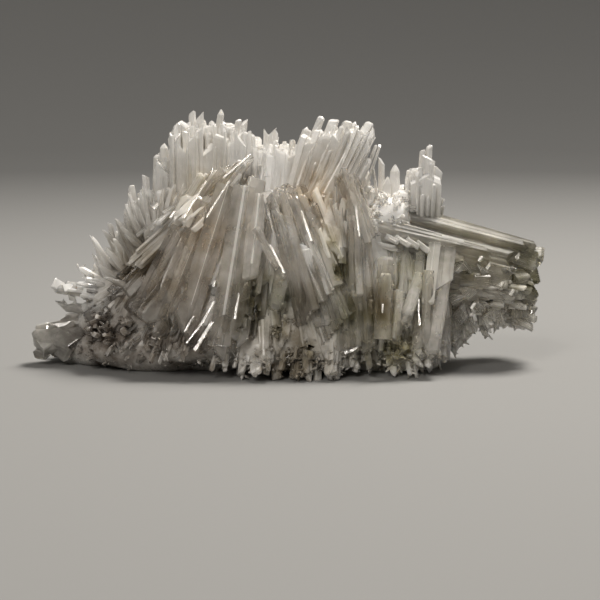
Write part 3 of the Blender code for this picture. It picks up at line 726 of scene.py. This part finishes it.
# The best side: rays that fall to the lower left, blunt crystals, the parallel bundles
face = {
    **plainSpray,
    "flat": (0.5, 0.95),
    "stout": 1.05,
    "stray": 0.35,
    "glass": 0.9,
    "clearness": {"sheaf": 0.35, "sheaf_low": 0.6, "rays_upper": 0.4, "rays_front": 0.4,
                  "pillar_green": 0.55, "pillar_shadow": 0.6, "teeth": 0.5},
    "strands": (1, 3),
    "splay": 0.03,
    "hearts": 0.7,
    "sunk": {"rays_upper": 9, "rays_front": 10, "hollow_bars": 2, "rays_lower": 5, "fall_left": 5,
             "chevron_left": 3, "pillar_middle": 2, "under_diagonal": 2},
    "tucked": {"pillar_green": 7, "pillar_shadow": 6, "teeth": 3},
    "fillShare": 4,
    "fewer": {"sheaf": 2, "sheaf_low": 2, "diagonal": 2, "diagonal_long": 1, "hollow_bars": 1,
              "rays_front": 0, "rays_upper": 0, "fall_left": 0, "chevron_left": 2, "teeth": 2},
    "fillWidths": (0.7, 2.0),
    "fillStray": (0.4, 1.2),
    "fillRagged": 0.45,
    "slabGlass": (0.86, 0.98),
    "slabStrands": 0,
    "fans": [
        ("rays_upper", (-12, 50, -7, -12, 44, -10), (-33.5, 31.5, -10, -38, 20, -12),
         7, (1.6, 2.4), 2, 0.1, 0.8),
        ("rays_front", (-12, 47, -12, -8, 44, -13), (-27, 34, -15, -24.5, 30, -16),
         5, (1.4, 2), 2, 0.12, 0.8),
        ("rays_lower", (-24, 34, -10, -22, 28, -12), (-42, 19, -7, -37, 9, -13), 6, (2.2, 3), 3, 0.15, 1),
        ("fall_left", (-18, 44, -10, -8, 40, -13), (-33.8, 10, -18, -16, 0.4, -22), 9, (3, 4), 2, 0.08, 0.8),
        ("chevron_left", (-10, 34, -15, -6, 34, -15), (-15, 6, -21, -9.5, 3, -22), 4, (2.4, 3), 2, 0.1, 0.8),
        ("hollow_bars", (-7, 31, -13, 0, 24, -14), (-9, 8, -19, 0, 5, -20), 5, (2, 2.8), 2, 0.15, 0.8),
        ("diagonal", (3, 9, -21, 12.5, 19, -20), (-5, 42.4, -12, 2.7, 43, -10), 6, (2.3, 3), 2, 0.05, 0.6),
        ("under_diagonal", (2, 18, -14, 12, 16, -15), (0, 2.5, -20, 12, 1.5, -21),
         5, (2.4, 3.2), 2, 0.2, 0.8),
        ("pillar_middle", (12.8, 46, -10, 16.5, 45, -10), (13.4, 3.5, -21, 18.6, 9, -20),
         4, (2.6, 3.2), 2, 0.05, 0.5),
        ("pillar_shadow", (16, 30, -14, 22, 27, -13), (16.5, 4, -19, 21.5, 4, -18),
         5, (1.6, 2.2), 2, 0.1, 0.6),
        ("pillar_green", (24.5, 28, -13, 31, 27, -13), (24.5, 12, -15, 30, 11, -16),
         4, (1.8, 2.4), 2, 0.1, 0.6),
        ("slope_skirt", (-36, 19, -3, -30, 10, -6), (-44, 16, -6, -37, 5, -12), 5, (2.8, 4), 2, 0.12, 1.2),
        ("sheaf", (-38, 19, -7, -25, 26, -12), (-17, 46, -9, -6, 50, -11), 18, (1.1, 1.9), 2, 0.22, 0.3),
        ("sheaf_low", (-40, 13, -8, -27, 14, -16), (-27, 33, -8, -15, 38, -13), 12, (1.1, 2), 2.5, 0.25, 0.8),
        ("diagonal_long", (7, 3, -20, 16, 13, -20), (-4.6, 41.6, -13, 3.4, 42.4, -11.5),
         11, (1.4, 2.4), 2, 0.12, 0.5),
        ("pillar_fine", (12.4, 3, -20, 20, 6, -19), (11.6, 45.6, -10, 16.4, 44.4, -10),
         8, (1.2, 2), 2, 0.08, 0.4),
        ("rim", (18.6, 28, -15, 21, 31, -13), (12.2, 46, -10.5, 15.8, 45.4, -10.5),
         5, (1.1, 1.7), 1.5, 0.06, 0.3),
        ("teeth", (23, 14, -15, 38, 14, -15), (25, 31, -7, 37, 29.2, -7), 16, (1, 1.9), 3, 0.25, 1),
        ("far_fall_left", (-16, 40, 7, -10, 38, 9), (-42, 15, 14, -18, 4, 24), 8, (2.8, 4.4), 5, 0.3, 3),
        ("far_fall_middle", (-8, 42, 6, 8, 42, 6), (-14, 5, 24, 14, 5, 24), 8, (2.8, 4.2), 5, 0.35, 3),
        ("far_fall_right", (10, 38, 5, 20, 36, 5), (16, 5, 24, 40, 8, 15), 8, (2.8, 4.2), 5, 0.3, 3),
        ("far_spray", (-14, 26, 11, 10, 26, 10), (-28, 44, 18, 18, 44, 18), 8, (2.2, 3.4), 8, 0.25, 4),
    ],
    "singles": [
        ("slab", [
            (-9, 35, -8, -22, 1.6, -21.8, 7.6), (-14, 33, -8, -26.4, 9.4, -21.6, 5.2),
            (-19, 27, -8, -31, 6.6, -21.6, 4.8), (-21, 29, -7, -34.2, 10.2, -19.6, 4.4),
            (-8, 32, -9, -14.4, 0.6, -21.8, 5.6), (-1, 41, -11, 8.8, 8, -20.6, 4.6),
            (2.2, 41.4, -10.5, 13, 10, -20, 4), (-3.6, 41, -11.6, 5, 8, -20.6, 4.2),
            (-14, 42, -11, -25.5, 5, -22, 5.4, 0.85), (-10, 42, -12, -16.4, 3, -22.4, 5.2, 0.88),
            (-6.6, 40, -11, -8.8, 19, -21.4, 3.8), (-19, 38, -11, -30.6, 8, -20.8, 5.4),
            (-25, 32, -10, -35.2, 11.4, -15.8, 5), (15, 43, -10, 15.6, 2, -20, 4.2),
            (18.2, 35, -11, 19.4, 2, -19, 3.2), (-5.2, 34, -12, -9.8, 14, -22, 2.6),
        ]),
        ("plain", [
            (22.6, 5.8, -21, 23.4, 25.4, -18, 3.4), (21.6, 6.8, -21, 21.7, 20.4, -18, 1.3),
            (31.6, 21, -13, 27.6, 9, -21, 3), (31.6, 29, -8, 31.1, 3, -20, 2.6),
            (33.4, 22, -15, 32.4, 3.4, -20, 2.4),
        ]),
        ("slab", [
            (35.2, 30.4, -8, 33.3, 14, -18, 2.8, 0.5), (38, 28.8, -8, 36.8, 16.5, -15.6, 4, 0.7),
        ]),
        ("plain", [
            (37, 20, -12, 34.2, 1.8, -20, 3.8), (37.2, 16, -8, 36.8, 0.4, -14, 3.4),
            (26.4, 17, -15, 25.4, 4.6, -21, 2.8), (-1, 22, -17, -3, 12.4, -22, 3.2),
            (-7.4, 32, -16, -0.8, 20, -20, 1.8), (-24.6, 18, -18, -27.4, 6.6, -21, 1.8),
        ]),
        ("lobe", [
            (-22.6, 23, -14, -33.8, 10, -20.8, 3.8), (-23.6, 19, -15, -31.2, 6, -21.8, 3),
        ]),
    ],
    "streaks": [    # low end, across and up of the high end, width
        (-21.8, 3.2, -24.2, -17.5, 9.8, 0.9), (-23.8, 4.8, -23.6, -19.8, 9.7, 0.5),
        (-20.4, 9, -23.2, -17.3, 14.4, 0.6), (-24.2, 7.6, -23, -22, 11.2, 0.5),
        (-12.3, 10.6, -23, -11.4, 16.4, 0.6), (-0.5, 21.4, -22.4, -4.2, 28, 0.6),
        (-24.4, 34.4, -14.4, -19.2, 43, 0.5), (-15, 44, -12.6, -8.4, 49.6, 0.5),
        (5.8, 29, -18.8, 3.4, 36, 0.6), (-19, 34.6, -16.4, -13.6, 43.2, 0.5),
        (-17.4, 18.2, -23, -17, 19.8, 0.6), (-31.6, 36.6, -9, -30.2, 38, 0.8),
        (-27.6, 34.4, -13, -26.4, 36.2, 0.6), (17.2, 30, -19, 16.4, 37, 0.5),
        (31.4, 9, -20.6, 31.4, 15, 0.5), (22.6, 12, -22.4, 22.8, 17, 0.5),
    ],
}

# The beam of long parallel crystals
beam = {
    **plainSpray,
    "stout": 1.15,
    "stray": 0.1,
    "glass": 0.95,
    "strands": (1, 3),
    "splay": 0.006,
    "hearts": 0.15,
    "fillShare": 5,
    "fillWidths": (0.8, 1.8),
    "fillStray": (0.2, 0.5),
    "fillRagged": 0.25,
    "fans": [
        ("beam_front", (10, 41, -3, 10, 34, -6), (58.2, 27, -3, 59.2, 23.6, -3), 7, (2.4, 3.2), 3, 0.03, 0.3),
        ("beam_low", (12, 36, -9, 14, 31, -9), (52, 25.5, -8, 40, 25, -9), 5, (2.2, 3), 2, 0.08, 0.6),
        ("beam_fill", (12, 39.5, -3.5, 13, 32.5, -7), (59, 27, -4, 54, 22.6, -7),
         13, (2.2, 3.2), 3, 0.03, 0.4),
        ("beam_back", (10, 40.6, 4, 10, 33, 4), (57, 26.6, 4, 58, 21, 4), 5, (2.8, 3.8), 3, 0.08, 0.6),
    ],
    "singles": [
        ("plain", [
            (16, 40, -1, 59, 27.6, -2, 2),
        ]),
    ],
}

# The right-hand end, stained yellow-green: large glassy blocks
rightEnd = {
    **plainSpray,
    "stray": 0.4,
    "glass": 0.85,
    "strands": (2, 4),
    "sunk": {"end_right": 2, "end_face": 5},
    "fillRagged": 0.35,
    "fans": [
        ("end_right", (44, 19, -3, 48, 13, -3), (58.8, 19.6, -4, 58.6, 9.8, -4), 7, (1.8, 2.6), 7, 0.04, 0.4),
        ("end_face", (33, 25, -5, 36, 13, -6), (56, 21, -9, 55.5, 13, -8), 9, (2.4, 3.4), 3, 0.35, 1.5),
        ("end_under", (38, 13, -5, 50, 14, -5), (40, 5.2, -11, 51, 8.6, -8), 6, (2.4, 3.2), 3, 0.08, 0.4),
        ("far_end", (34, 24, 3, 36, 14, 3), (57, 21, 7, 55, 13, 7), 7, (2.6, 3.8), 4, 0.3, 1.5),
    ],
    "singles": [
        ("plain", [
            (46, 26, -2, 60.9, 25.4, -3, 3.8), (46, 24, 0, 60.2, 22.4, -1, 4.2),
            (50, 14, -4, 59.2, 10.3, -5, 1.6), (50, 13, -4, 58.6, 8.2, -5, 1.6),
        ]),
    ],
    "streaks": [    # low end, across and up of the high end, width
        (54.2, 24.8, -8, 55.4, 26.2, 1), (47.2, 22.4, -12.5, 48.2, 23.6, 0.9),
        (50.4, 18.2, -12.5, 51.4, 19.6, 1), (52.8, 16.2, -11, 53.8, 17.6, 0.9),
        (45.4, 24.2, -11.5, 46.4, 25.6, 0.9), (43.6, 13, -13, 44.6, 14.4, 0.8),
        (57.2, 18.8, -7, 58, 20.2, 0.8),
    ],
    "blocks": [     # middle, size, lean
        (56, 24.5, -4, 5.4, 0.3), (55.4, 20.5, -6, 5, 0.5), (57, 17, -4, 4.2, 0.6), (51, 20.6, -8, 5.6, 0.5),
        (50.5, 15.6, -7, 5, 0.7), (46.6, 19.4, -9.5, 3.2, 0.9), (43.4, 17.8, -9.5, 3.4, 0.9),
        (45.2, 13.6, -8, 3.8, 0.8), (41.2, 16, -9.5, 3.6, 0.8), (41, 21.6, -9, 4.6, 0.4),
        (40.6, 10.6, -9, 4.4, 0.8), (54.6, 13, -5, 4.6, 0.7), (49, 11.4, -6, 4, 0.9), (47, 23, -8, 4.4, 0.4),
        (57.6, 21.4, -1, 5, 0.4), (55.6, 12.6, 1, 5, 0.7), (57, 17, 4, 5, 0.6), (52, 15, 5, 6, 0.6),
    ],
}

# The foot of the best side and the tail at the left
foot = {
    **plainSpray,
    "sunk": {"tail_front": 4, "foot_left": 6, "foot_right": 6},
    "fillShare": 3,
    "fewer": {"foot_left": 0, "foot_right": 0},
    "fillWidths": (0.5, 1.6),
    "fillStray": (0.4, 2.5),
    "fans": [
        ("foot_left", (-42, 7, -6, -10, 8, -9), (-43, 0.4, -11, -10, 0.2, -20), 10, (2.6, 3.8), 5, 0.25, 0.8),
        ("foot_right", (-8, 8, -10, 33, 8, -10), (-7, 0.4, -20, 33, 0.6, -19), 11, (2.6, 3.8), 5, 0.25, 0.8),
        ("tail_front", (-54, 3, 2, -34, 8, 0), (-56, 3.4, -3, -36, 9, -11), 7, (2.6, 4.2), 2, 0.15, 1),
        ("tail_top", (-54, 2, 2, -38, 8, 0), (-55, 9, 0, -42, 16.6, -3), 7, (2.6, 4.2), 9, 0.15, 0.8),
        ("far_tail", (-50, 4, 3, -32, 10, 5), (-54, 7, 10, -34, 10, 16), 5, (2.8, 4.2), 3, 0.15, 2),
    ],
    "singles": [
        ("plain", [
            (-46, 6, 0, -60.6, 5.2, -1, 7), (-44, 10.6, 0, -59.2, 7.8, 0, 2.8),
            (-44, 12.6, -2, -54.8, 13.8, -3, 2), (-42, 16.2, -2, -54.6, 17.8, -2, 2.2),
            (-42, 17, 0, -52.6, 18.8, 1, 1.8), (-42, 15.6, -3, -48.2, 16.4, -4, 3),
            (-50, 12.6, -2, -51.2, 17.4, -2, 1.8), (-3.6, 7, -15, -5.1, -3, -23.5, 1.6),
            (-6.4, 5, -15, -6.8, -1.6, -20, 1.6), (5, 5, -13, 5.6, -2.6, -21, 5),
            (13, 5, -15, 13.9, -0.8, -20, 1.5), (18.6, 5, -15, 19.6, -0.9, -20, 1.5),
            (27.6, 6, -9, 28, -1.5, -16, 6),
        ]),
    ],
    "blocks": [    # middle, size, lean
        (-54, 5, 2, 5.4, 0.4), (-56.6, 5, -2, 4.8, 0.5), (-54.2, 7.2, 0, 4.4, 0.6), (-53, 3.6, -3, 4.8, 0.7),
        (-57.2, 3.2, -1, 3.6, 0.8), (-55.4, 8.2, -1, 2.8, 0.8), (-51.2, 8.8, 0, 4, 0.6),
        (-51.4, 5.2, -3.4, 4.6, 0.5), (-58.2, 6.4, 0, 2.6, 0.9), (-44, 12, -5, 4.6, 0.8),
    ],
}


def addHeart(low, high, share, width):
    hearts.append((low, low + (high - low) * share, width))


def growFans(mesh, values, draw):
    for fan in values["fans"]:
        name = fan[0]
        form = {"cap": "point", "swell": leafShape} if name in values["leaves"] else {}
        sunk = np.array((0, values["sunk"].get(name, 0), 0))
        for low, high, width in fanCrystals(fan):
            low = low + sunk + unit(low - high) * sunk[1] * values["sunkLonger"]
            if name in values["tucked"]:
                low = low + unit(low - high) * draw.uniform(*values["tuckedLonger"])
                low[1] += values["tucked"][name]
            high = high + anyWay(draw) * values["stray"]
            width = width * values["stout"]
            glass = values["clearness"].get(name, values["glass"]) + draw.uniform(-0.2, 0.2)
            mesh.addPrism(low, high, width, draw, draw.uniform(*values["flat"]),
                          draw.choice(("ribbed", "square")), glass=glass, facing=0.5, **form)
            mesh.addStrands(low, high, width, draw, draw.randint(*values["strands"]), values["splay"], glass)
            if draw.random() < values["hearts"]:
                addHeart(low, high, draw.uniform(0.6, 0.9), width * 0.6)
            grown.append((low, high))
        for low, high, width in fillCrystals(fan, values):
            if name in values["tucked"]:
                low = low + unit(low - high) * values["tuckedFill"]
                low[1] += values["tucked"][name]
            mesh.addPrism(low + sunk, high + sunk * values["sunkFill"], width, draw, draw.uniform(0.6, 1),
                          bend=0.012, glass=values["glass"] + draw.uniform(-0.2, 0.2))


def growSingles(mesh, values, draw):
    glass = values["glass"]
    forms = {"leaf": {"glass": glass, "cap": "point", "swell": leafShape},
             "lobe": {"glass": 0.92, "cap": "blunt", "swell": lobeShape}}
    for kind, rows in values["singles"]:
        for row in rows:
            low, high, width = ends(row)
            if kind in forms:
                mesh.addPrism(low, high, width, draw, 0.6, facing=0.3, **forms[kind])
            elif kind == "slab":
                own = row[7] if len(row) > 7 else draw.uniform(*values["slabGlass"])
                mesh.addPrism(low, high, width, draw, 0.45, "fluted", glass=own, facing=0.15,
                              cap=draw.choice(("slope", "chip")))
                mesh.addStrands(low, high, width, draw, values["slabStrands"], 0.01, glass, (0.12, 0.3))
                addHeart(low, high, 0.8, width * 0.35)
                grown.append((low, high))
            else:
                if width > values["heartFrom"]:
                    addHeart(low, high, 0.8, width * 0.6)
                    grown.append((low, high))
                    if width < values["strandsTo"]:
                        mesh.addStrands(low, high, width, draw, 3, values["splay"], glass)
                mesh.addPrism(low, high, width, draw, draw.uniform(0.8, 1), glass=glass)


def growStreaks(mesh, values, draw):
    # clear crystals, each tilted until one of its faces catches the small lamp
    for across, up, deep, highAcross, highUp, width in values["streaks"]:
        low, high = seen(across, up, deep), seen(highAcross, highUp, deep)
        toLamp = np.array(drawing["glint"]) - low
        toLens = seen(drawing["centreAcross"], drawing["centreUp"], 0) - low + backToLens
        normal = unit(unit(toLamp) + unit(toLens))
        run = high - low
        run[1] = -(run[0] * normal[0] + run[2] * normal[2]) / normal[1]
        side = unit(np.cross(unit(run), towardsBack))
        turn = math.asin(max(-1, min(1, float(side @ normal))))
        mesh.addPrism(low, low + run, width, draw, 0.7, glass=0.8, turn=-turn, cap="slope")


def growFlames(mesh, values, draw):
    # bent pointed crystals with smaller ones beside them
    for row in values["flames"]:
        low, high, width = ends(row)
        mesh.addPrism(low, high, width, draw, draw.uniform(0.4, 0.8), glass=draw.uniform(0.1, 0.9),
                      facing=0.8, bend=0.05, cap=draw.choice(("point", "point", "slope")), swell=flameShape)
        for _ in range(values["sideFlames"]):
            stray = anyWay(draw)
            end = low + (high - low) * draw.uniform(0.45, 0.95) + stray * draw.uniform(0.5, 1.3)
            mesh.addPrism(low + stray * 0.5, end, width * draw.uniform(0.4, 0.8), draw,
                          draw.uniform(0.4, 0.8), glass=draw.uniform(0.1, 0.7), cap="point", swell=flameShape)


def growBlocks(mesh, values, draw):
    for *middle, size, lean in values["blocks"]:
        along = Vector((draw.gauss(0.3, 1), draw.gauss(0, 0.6), draw.gauss(0, 1))).normalized()
        along = np.array(along.lerp(Vector((1, 0, -0.18)), 1 - lean))
        middle = seen(*middle)
        mesh.addPrism(middle - along * size * 0.7, middle + along * size * draw.uniform(0.4, 0.7), size, draw,
                      draw.uniform(0.6, 0.9), glass=values["glass"])


def buildSprays(name, values, material):
    # clear crystals; the milky cores of the large ones go into the mass
    mesh = CrystalMesh()
    draw = random.Random(name)
    for grow in (growFans, growSingles, growStreaks, growFlames, growBlocks):
        grow(mesh, values, draw)
    settle(mesh.build(name, material))


buildSprays("crownCrystals", crown, milky)
buildSprays("faceCrystals", face, clear)
buildSprays("beamCrystals", beam, smooth)
buildSprays("endCrystals", rightEnd, green)
buildSprays("footCrystals", foot, drusy)

# Hair-thin needles in the gap at the upper right
needles = {
    "flat": 0.8,
    "bend": 0.02,
    "paths": [
        (15.4, 38.5, -4, 21.2, 51.9, -4, 0.8), (17.4, 38.5, -4, 22.1, 51.9, -3, 0.8),
        (21.4, 38, -4, 20.3, 46.6, -4, 0.7),
    ],
}


def buildNeedles():
    mesh = CrystalMesh()
    draw = random.Random("needles")
    for row in needles["paths"]:
        mesh.addPrism(*ends(row), draw, needles["flat"], bend=needles["bend"])
    settle(mesh.build("needles", milky))


buildNeedles()

# The intergrown mass, sawn flat underneath
mass = {
    "lumps": [    # middle and half sizes, both across, up and deep in mm
        (-14, 22, 1, 23, 24, 16), (8, 22, 1, 20, 22, 18), (-8, 36, 2, 18, 12, 10), (12, 34, 1, 14, 9, 9),
        (-33, 11, 1, 17, 12, 12), (-44, 4, 3, 9, 7, 6), (26, 12, 1, 14, 16, 16), (28, 28, 1, 13, 8, 6),
        (46, 18, 0, 12, 8, 8), (-20, 5, 3, 22, 7, 17), (14, 5, 3, 24, 7, 18), (-30, 4, -6, 17, 6, 9),
        (-44, 4, 0, 9, 5, 6), (2, 5, -11, 17, 6, 10), (4, 7, -12, 14, 8, 9), (-20, 8, -11, 13, 9, 9),
        (24, 34, -4, 6, 5.5, 5), (28, 3, -8, 7, 5, 9), (-19.5, 43, 1, 7.5, 10, 6), (-3, 41, -1, 9, 9, 6),
        (-6, 41, -3, 7, 5, 5), (8.5, 43, 0, 8, 9, 6), (24, 34, -1, 6, 5.5, 5), (32, 37, 0, 3.2, 8, 4),
    ],
    "roughness": 0.22,
    "noiseSize": 9.0,
    "bareBelow": 0.8,    # mm above the base, where nothing grows on it
    "front": 2.0,        # what grows on the best side, over the far side
}
massLook = {
    **clearLook,
    "milk": 0.6,
    "milkDepth": 3.0,
    "clear": (0.2, 0.7),
    "frostAndGlow": 0.0,
    "roughness": (0.15, 0.4),
}
# Undergrowth: crystals that cover the mass between the sprays and lie the way their neighbours do,
# and druse, tufts of short splinters, where no spray is near
undergrowth = {
    "seed": 5,
    "crystals": 2200,
    "lengths": (4.0, 12.0),
    "widths": (0.7, 2.2),
    "reach": 7.0,               # mm to the nearest spray crystal
    "from": -46,                # mm along the length
    "to": 54,
    "lowest": 2.5,              # mm above the base
    "lowestTail": 6.0,          # the same for the front of the tail
    "tailTo": -12,              # mm along the length
    "lift": 0.08,
    "stray": 0.09,
    "buried": 0.45,             # share of the length
    "sunk": 0.4,                # mm further into the mass
    "mostlyThin": 1.6,          # the higher, the more of them are thin
    "shelf": (18, 31, 30),      # from, to and above, in mm: short upright crystals there
    "shelfWay": (0.0, -0.2, 1.0),
    "shelfLift": 0.4,
    "shelfShorter": 0.4,
    "shelfStray": 0.25,
}
druse = {
    "tufts": 1750,
    "splinters": (2, 3),
    "lengths": (0.9, 2.0),
    "widths": (0.35, 0.8),
    "buried": 0.6,              # mm
    "tilt": 0.35,
    "spread": 0.4,
    "shelf": (19, 30, 31),
    "away": (2.0, 8, 4.0, 16),  # mm from a spray crystal above one height, and above another
    "bareFrom": -50,            # mm along the length; at the front none stand to the left of this
    "thinFrom": -14,            # and half as many to the left of this
    "flatBelow": 5,             # mm above the base; lower ones at the tail lie flatter
}


def surfaceOf(piece):
    # the faces' middles in mm, their directions and a weight by area, none for the underside
    faces = piece.data.polygons
    centres = readValues(faces, "center", 3) / mm
    normals = readValues(faces, "normal", 3)
    weight = readValues(faces, "area") * (centres[:, 2] > mass["bareBelow"])
    weight *= np.where(normals[:, 1] < 0, mass["front"], 1.0)
    return centres, normals, weight / weight.sum()


def lumpsOfMass():
    mesh = CrystalMesh()
    for *centre, wide, high, deep in mass["lumps"]:
        mesh.addLump(centre, (wide, high, deep), mass["roughness"], mass["noiseSize"])
    return mesh


def onShelf(spot, limits):
    return limits[0] < spot[0] < limits[1] and spot[2] > limits[2]


def buildMass():
    core = lumpsOfMass().build("core", clear)
    centres, normals, weight = surfaceOf(core)
    bpy.data.objects.remove(core)
    draw = random.Random("undergrowth")
    picker = np.random.default_rng(undergrowth["seed"])
    lows = np.array([low for low, high in grown])
    runs = np.array([high - low for low, high in grown])
    lengths = np.linalg.norm(runs, axis=1)

    def nearest(point):
        share = np.clip(((point - lows) * runs).sum(1) / lengths ** 2, 0, 1)
        away = np.linalg.norm(lows + runs * share[:, None] - point, axis=1)
        best = int(away.argmin())
        return away[best], runs[best] / lengths[best]

    mesh = lumpsOfMass()
    for low, high, width in hearts:
        mesh.addPrism(low, high, width, draw, 0.9, glass=0.2)
    thin, wide = undergrowth["widths"]
    for index in picker.choice(len(centres), undergrowth["crystals"], p=weight):
        away, along = nearest(centres[index])
        x, y, z = centres[index]
        lowest = undergrowth["lowest" if x > undergrowth["tailTo"] or y > 0 else "lowestTail"]
        if away > undergrowth["reach"] or z < lowest or not undergrowth["from"] < x < undergrowth["to"]:
            continue
        along = unit(along + normals[index] * undergrowth["lift"] + picker.normal(0, undergrowth["stray"], 3))
        length = draw.uniform(*undergrowth["lengths"])
        if onShelf(centres[index], undergrowth["shelf"]):
            stray = picker.normal(0, undergrowth["shelfStray"], 3)
            along = unit(normals[index] * undergrowth["shelfLift"] + stray + undergrowth["shelfWay"])
            length *= undergrowth["shelfShorter"]
        low = centres[index] - along * length * undergrowth["buried"] - normals[index] * undergrowth["sunk"]
        width = thin + (wide - thin) * draw.random() ** undergrowth["mostlyThin"]
        mesh.addPrism(low, low + along * length, width, draw, draw.uniform(0.7, 1))
    piece = mesh.build("fusedMass", crystalFinish("fusedScolecite", massLook))
    settle(piece)

    centres, normals, weight = surfaceOf(piece)
    halves = {"druseFront": CrystalMesh(), "druseBack": CrystalMesh()}
    near, nearAbove, far, farAbove = druse["away"]
    made = 0
    for index in picker.choice(len(centres), druse["tufts"] * 4, p=weight):
        away, along = nearest(centres[index])
        if made == druse["tufts"]:
            break
        x, y, z = centres[index]
        covered = away < near and z > nearAbove or away < far and z > farAbove
        if covered and not onShelf(centres[index], druse["shelf"]):
            continue
        if y < 0 and (x < druse["bareFrom"] or x < druse["thinFrom"] and picker.random() < 0.5):
            continue
        made += 1
        outward = normals[index] + picker.normal(0, druse["tilt"], 3)
        if z < druse["flatBelow"] and x < undergrowth["tailTo"]:
            outward[2] = abs(outward[2]) * 0.5    # keeps clear of the base
        outward = unit(outward)
        length, width = draw.uniform(*druse["lengths"]), draw.uniform(*druse["widths"])
        half = halves["druseFront" if y < 0 else "druseBack"]
        half.addTuft(centres[index] - outward * druse["buried"], outward, length + druse["buried"], width,
                     draw, draw.randint(*druse["splinters"]), druse["spread"])
    for name, half in halves.items():
        settle(half.build(name, drusy))


buildMass()
bpy.data.objects.remove(pits)

# Studio: one seamless pale dish, a soft key above and behind, a weak fill in front, a lamp for the glints
studio = {
    "floorTone": 0.27,
    "flatRadius": 0.75,
    "rimRadius": 1.5,
    "rimHeight": 1.1,
    "rimSteps": 12,
    "lamps": {                              # power in W, place, size in m
        "key": (7.2, (0.20, 0.14, 0.68), 0.25),
        "fill": (2.4, (-0.3, -0.8, 0.6), 0.4),
        "glint": (1.1, [place * mm for place in drawing["glint"]], 0.08),
    },
    "aim": (0, 0, 0.03),
    "skyTone": (0.71, 0.69, 0.65),
    "skyStrength": 0.26,
    "warmth": (1.0, 0.95, 0.88),
}


def buildStudio():
    dish = bmesh.new()
    flat, wide = studio["flatRadius"], studio["rimRadius"] - studio["flatRadius"]
    profile = [(0.0, 0.0), (flat, 0.0)]
    for step in range(1, studio["rimSteps"] + 1):
        angle = math.pi / 2 * step / studio["rimSteps"]
        profile.append((flat + wide * math.sin(angle), studio["rimHeight"] * (1 - math.cos(angle))))
    line = [dish.verts.new((r, 0, z)) for r, z in profile]
    edges = [dish.edges.new(pair) for pair in zip(line, line[1:])]
    bmesh.ops.spin(dish, geom=line + edges, cent=(0, 0, 0), axis=(0, 0, 1), angle=2 * math.pi, steps=96)
    bmesh.ops.remove_doubles(dish, verts=dish.verts, dist=1e-5)
    data = bpy.data.meshes.new("floor")
    dish.to_mesh(data)
    dish.free()
    data.shade_smooth()
    floor = addObject("floor", data)
    paper = bpy.data.materials.new("paper")
    paper.use_nodes = True
    shader = paper.node_tree.nodes["Principled BSDF"]
    tone = studio["floorTone"]
    shader.inputs["Base Color"].default_value = (tone, tone, tone * 0.99, 1)
    shader.inputs["Roughness"].default_value = 0.9
    data.materials.append(paper)
    for name, (power, where, size) in studio["lamps"].items():
        light = bpy.data.lights.new(name, "AREA")
        light.energy = power
        light.size = size
        light.color = studio["warmth"]
        lamp = addObject(name, light)
        lamp.location = where
        lamp.rotation_euler = (Vector(studio["aim"]) - Vector(where)).to_track_quat("-Z", "Y").to_euler()
    world = bpy.data.worlds.new("sky")
    world.use_nodes = True
    sky = world.node_tree.nodes["Background"]
    sky.inputs["Color"].default_value = (*studio["skyTone"], 1)
    sky.inputs["Strength"].default_value = studio["skyStrength"]
    bpy.context.scene.world = world
    print("made the floor, the lamps and the sky")


def buildCamera():
    data = bpy.data.cameras.new("camera")
    data.lens = drawing["lens"]
    data.sensor_width = 36
    data.clip_start = 0.01
    camera = addObject("camera", data)
    camera.location = (seen(drawing["centreAcross"], drawing["centreUp"], 0) + backToLens) * mm
    camera.rotation_euler = (math.radians(90 - drawing["dip"]), 0, 0)
    bpy.context.scene.camera = camera


buildStudio()
buildCamera()
bpy.context.scene.view_settings.view_transform = "Standard"
bpy.context.scene.cycles.max_bounces = 24
bpy.context.scene.cycles.diffuse_bounces = 12
bpy.context.scene.cycles.glossy_bounces = 8
bpy.context.scene.cycles.transmission_bounces = 20
print("finished")
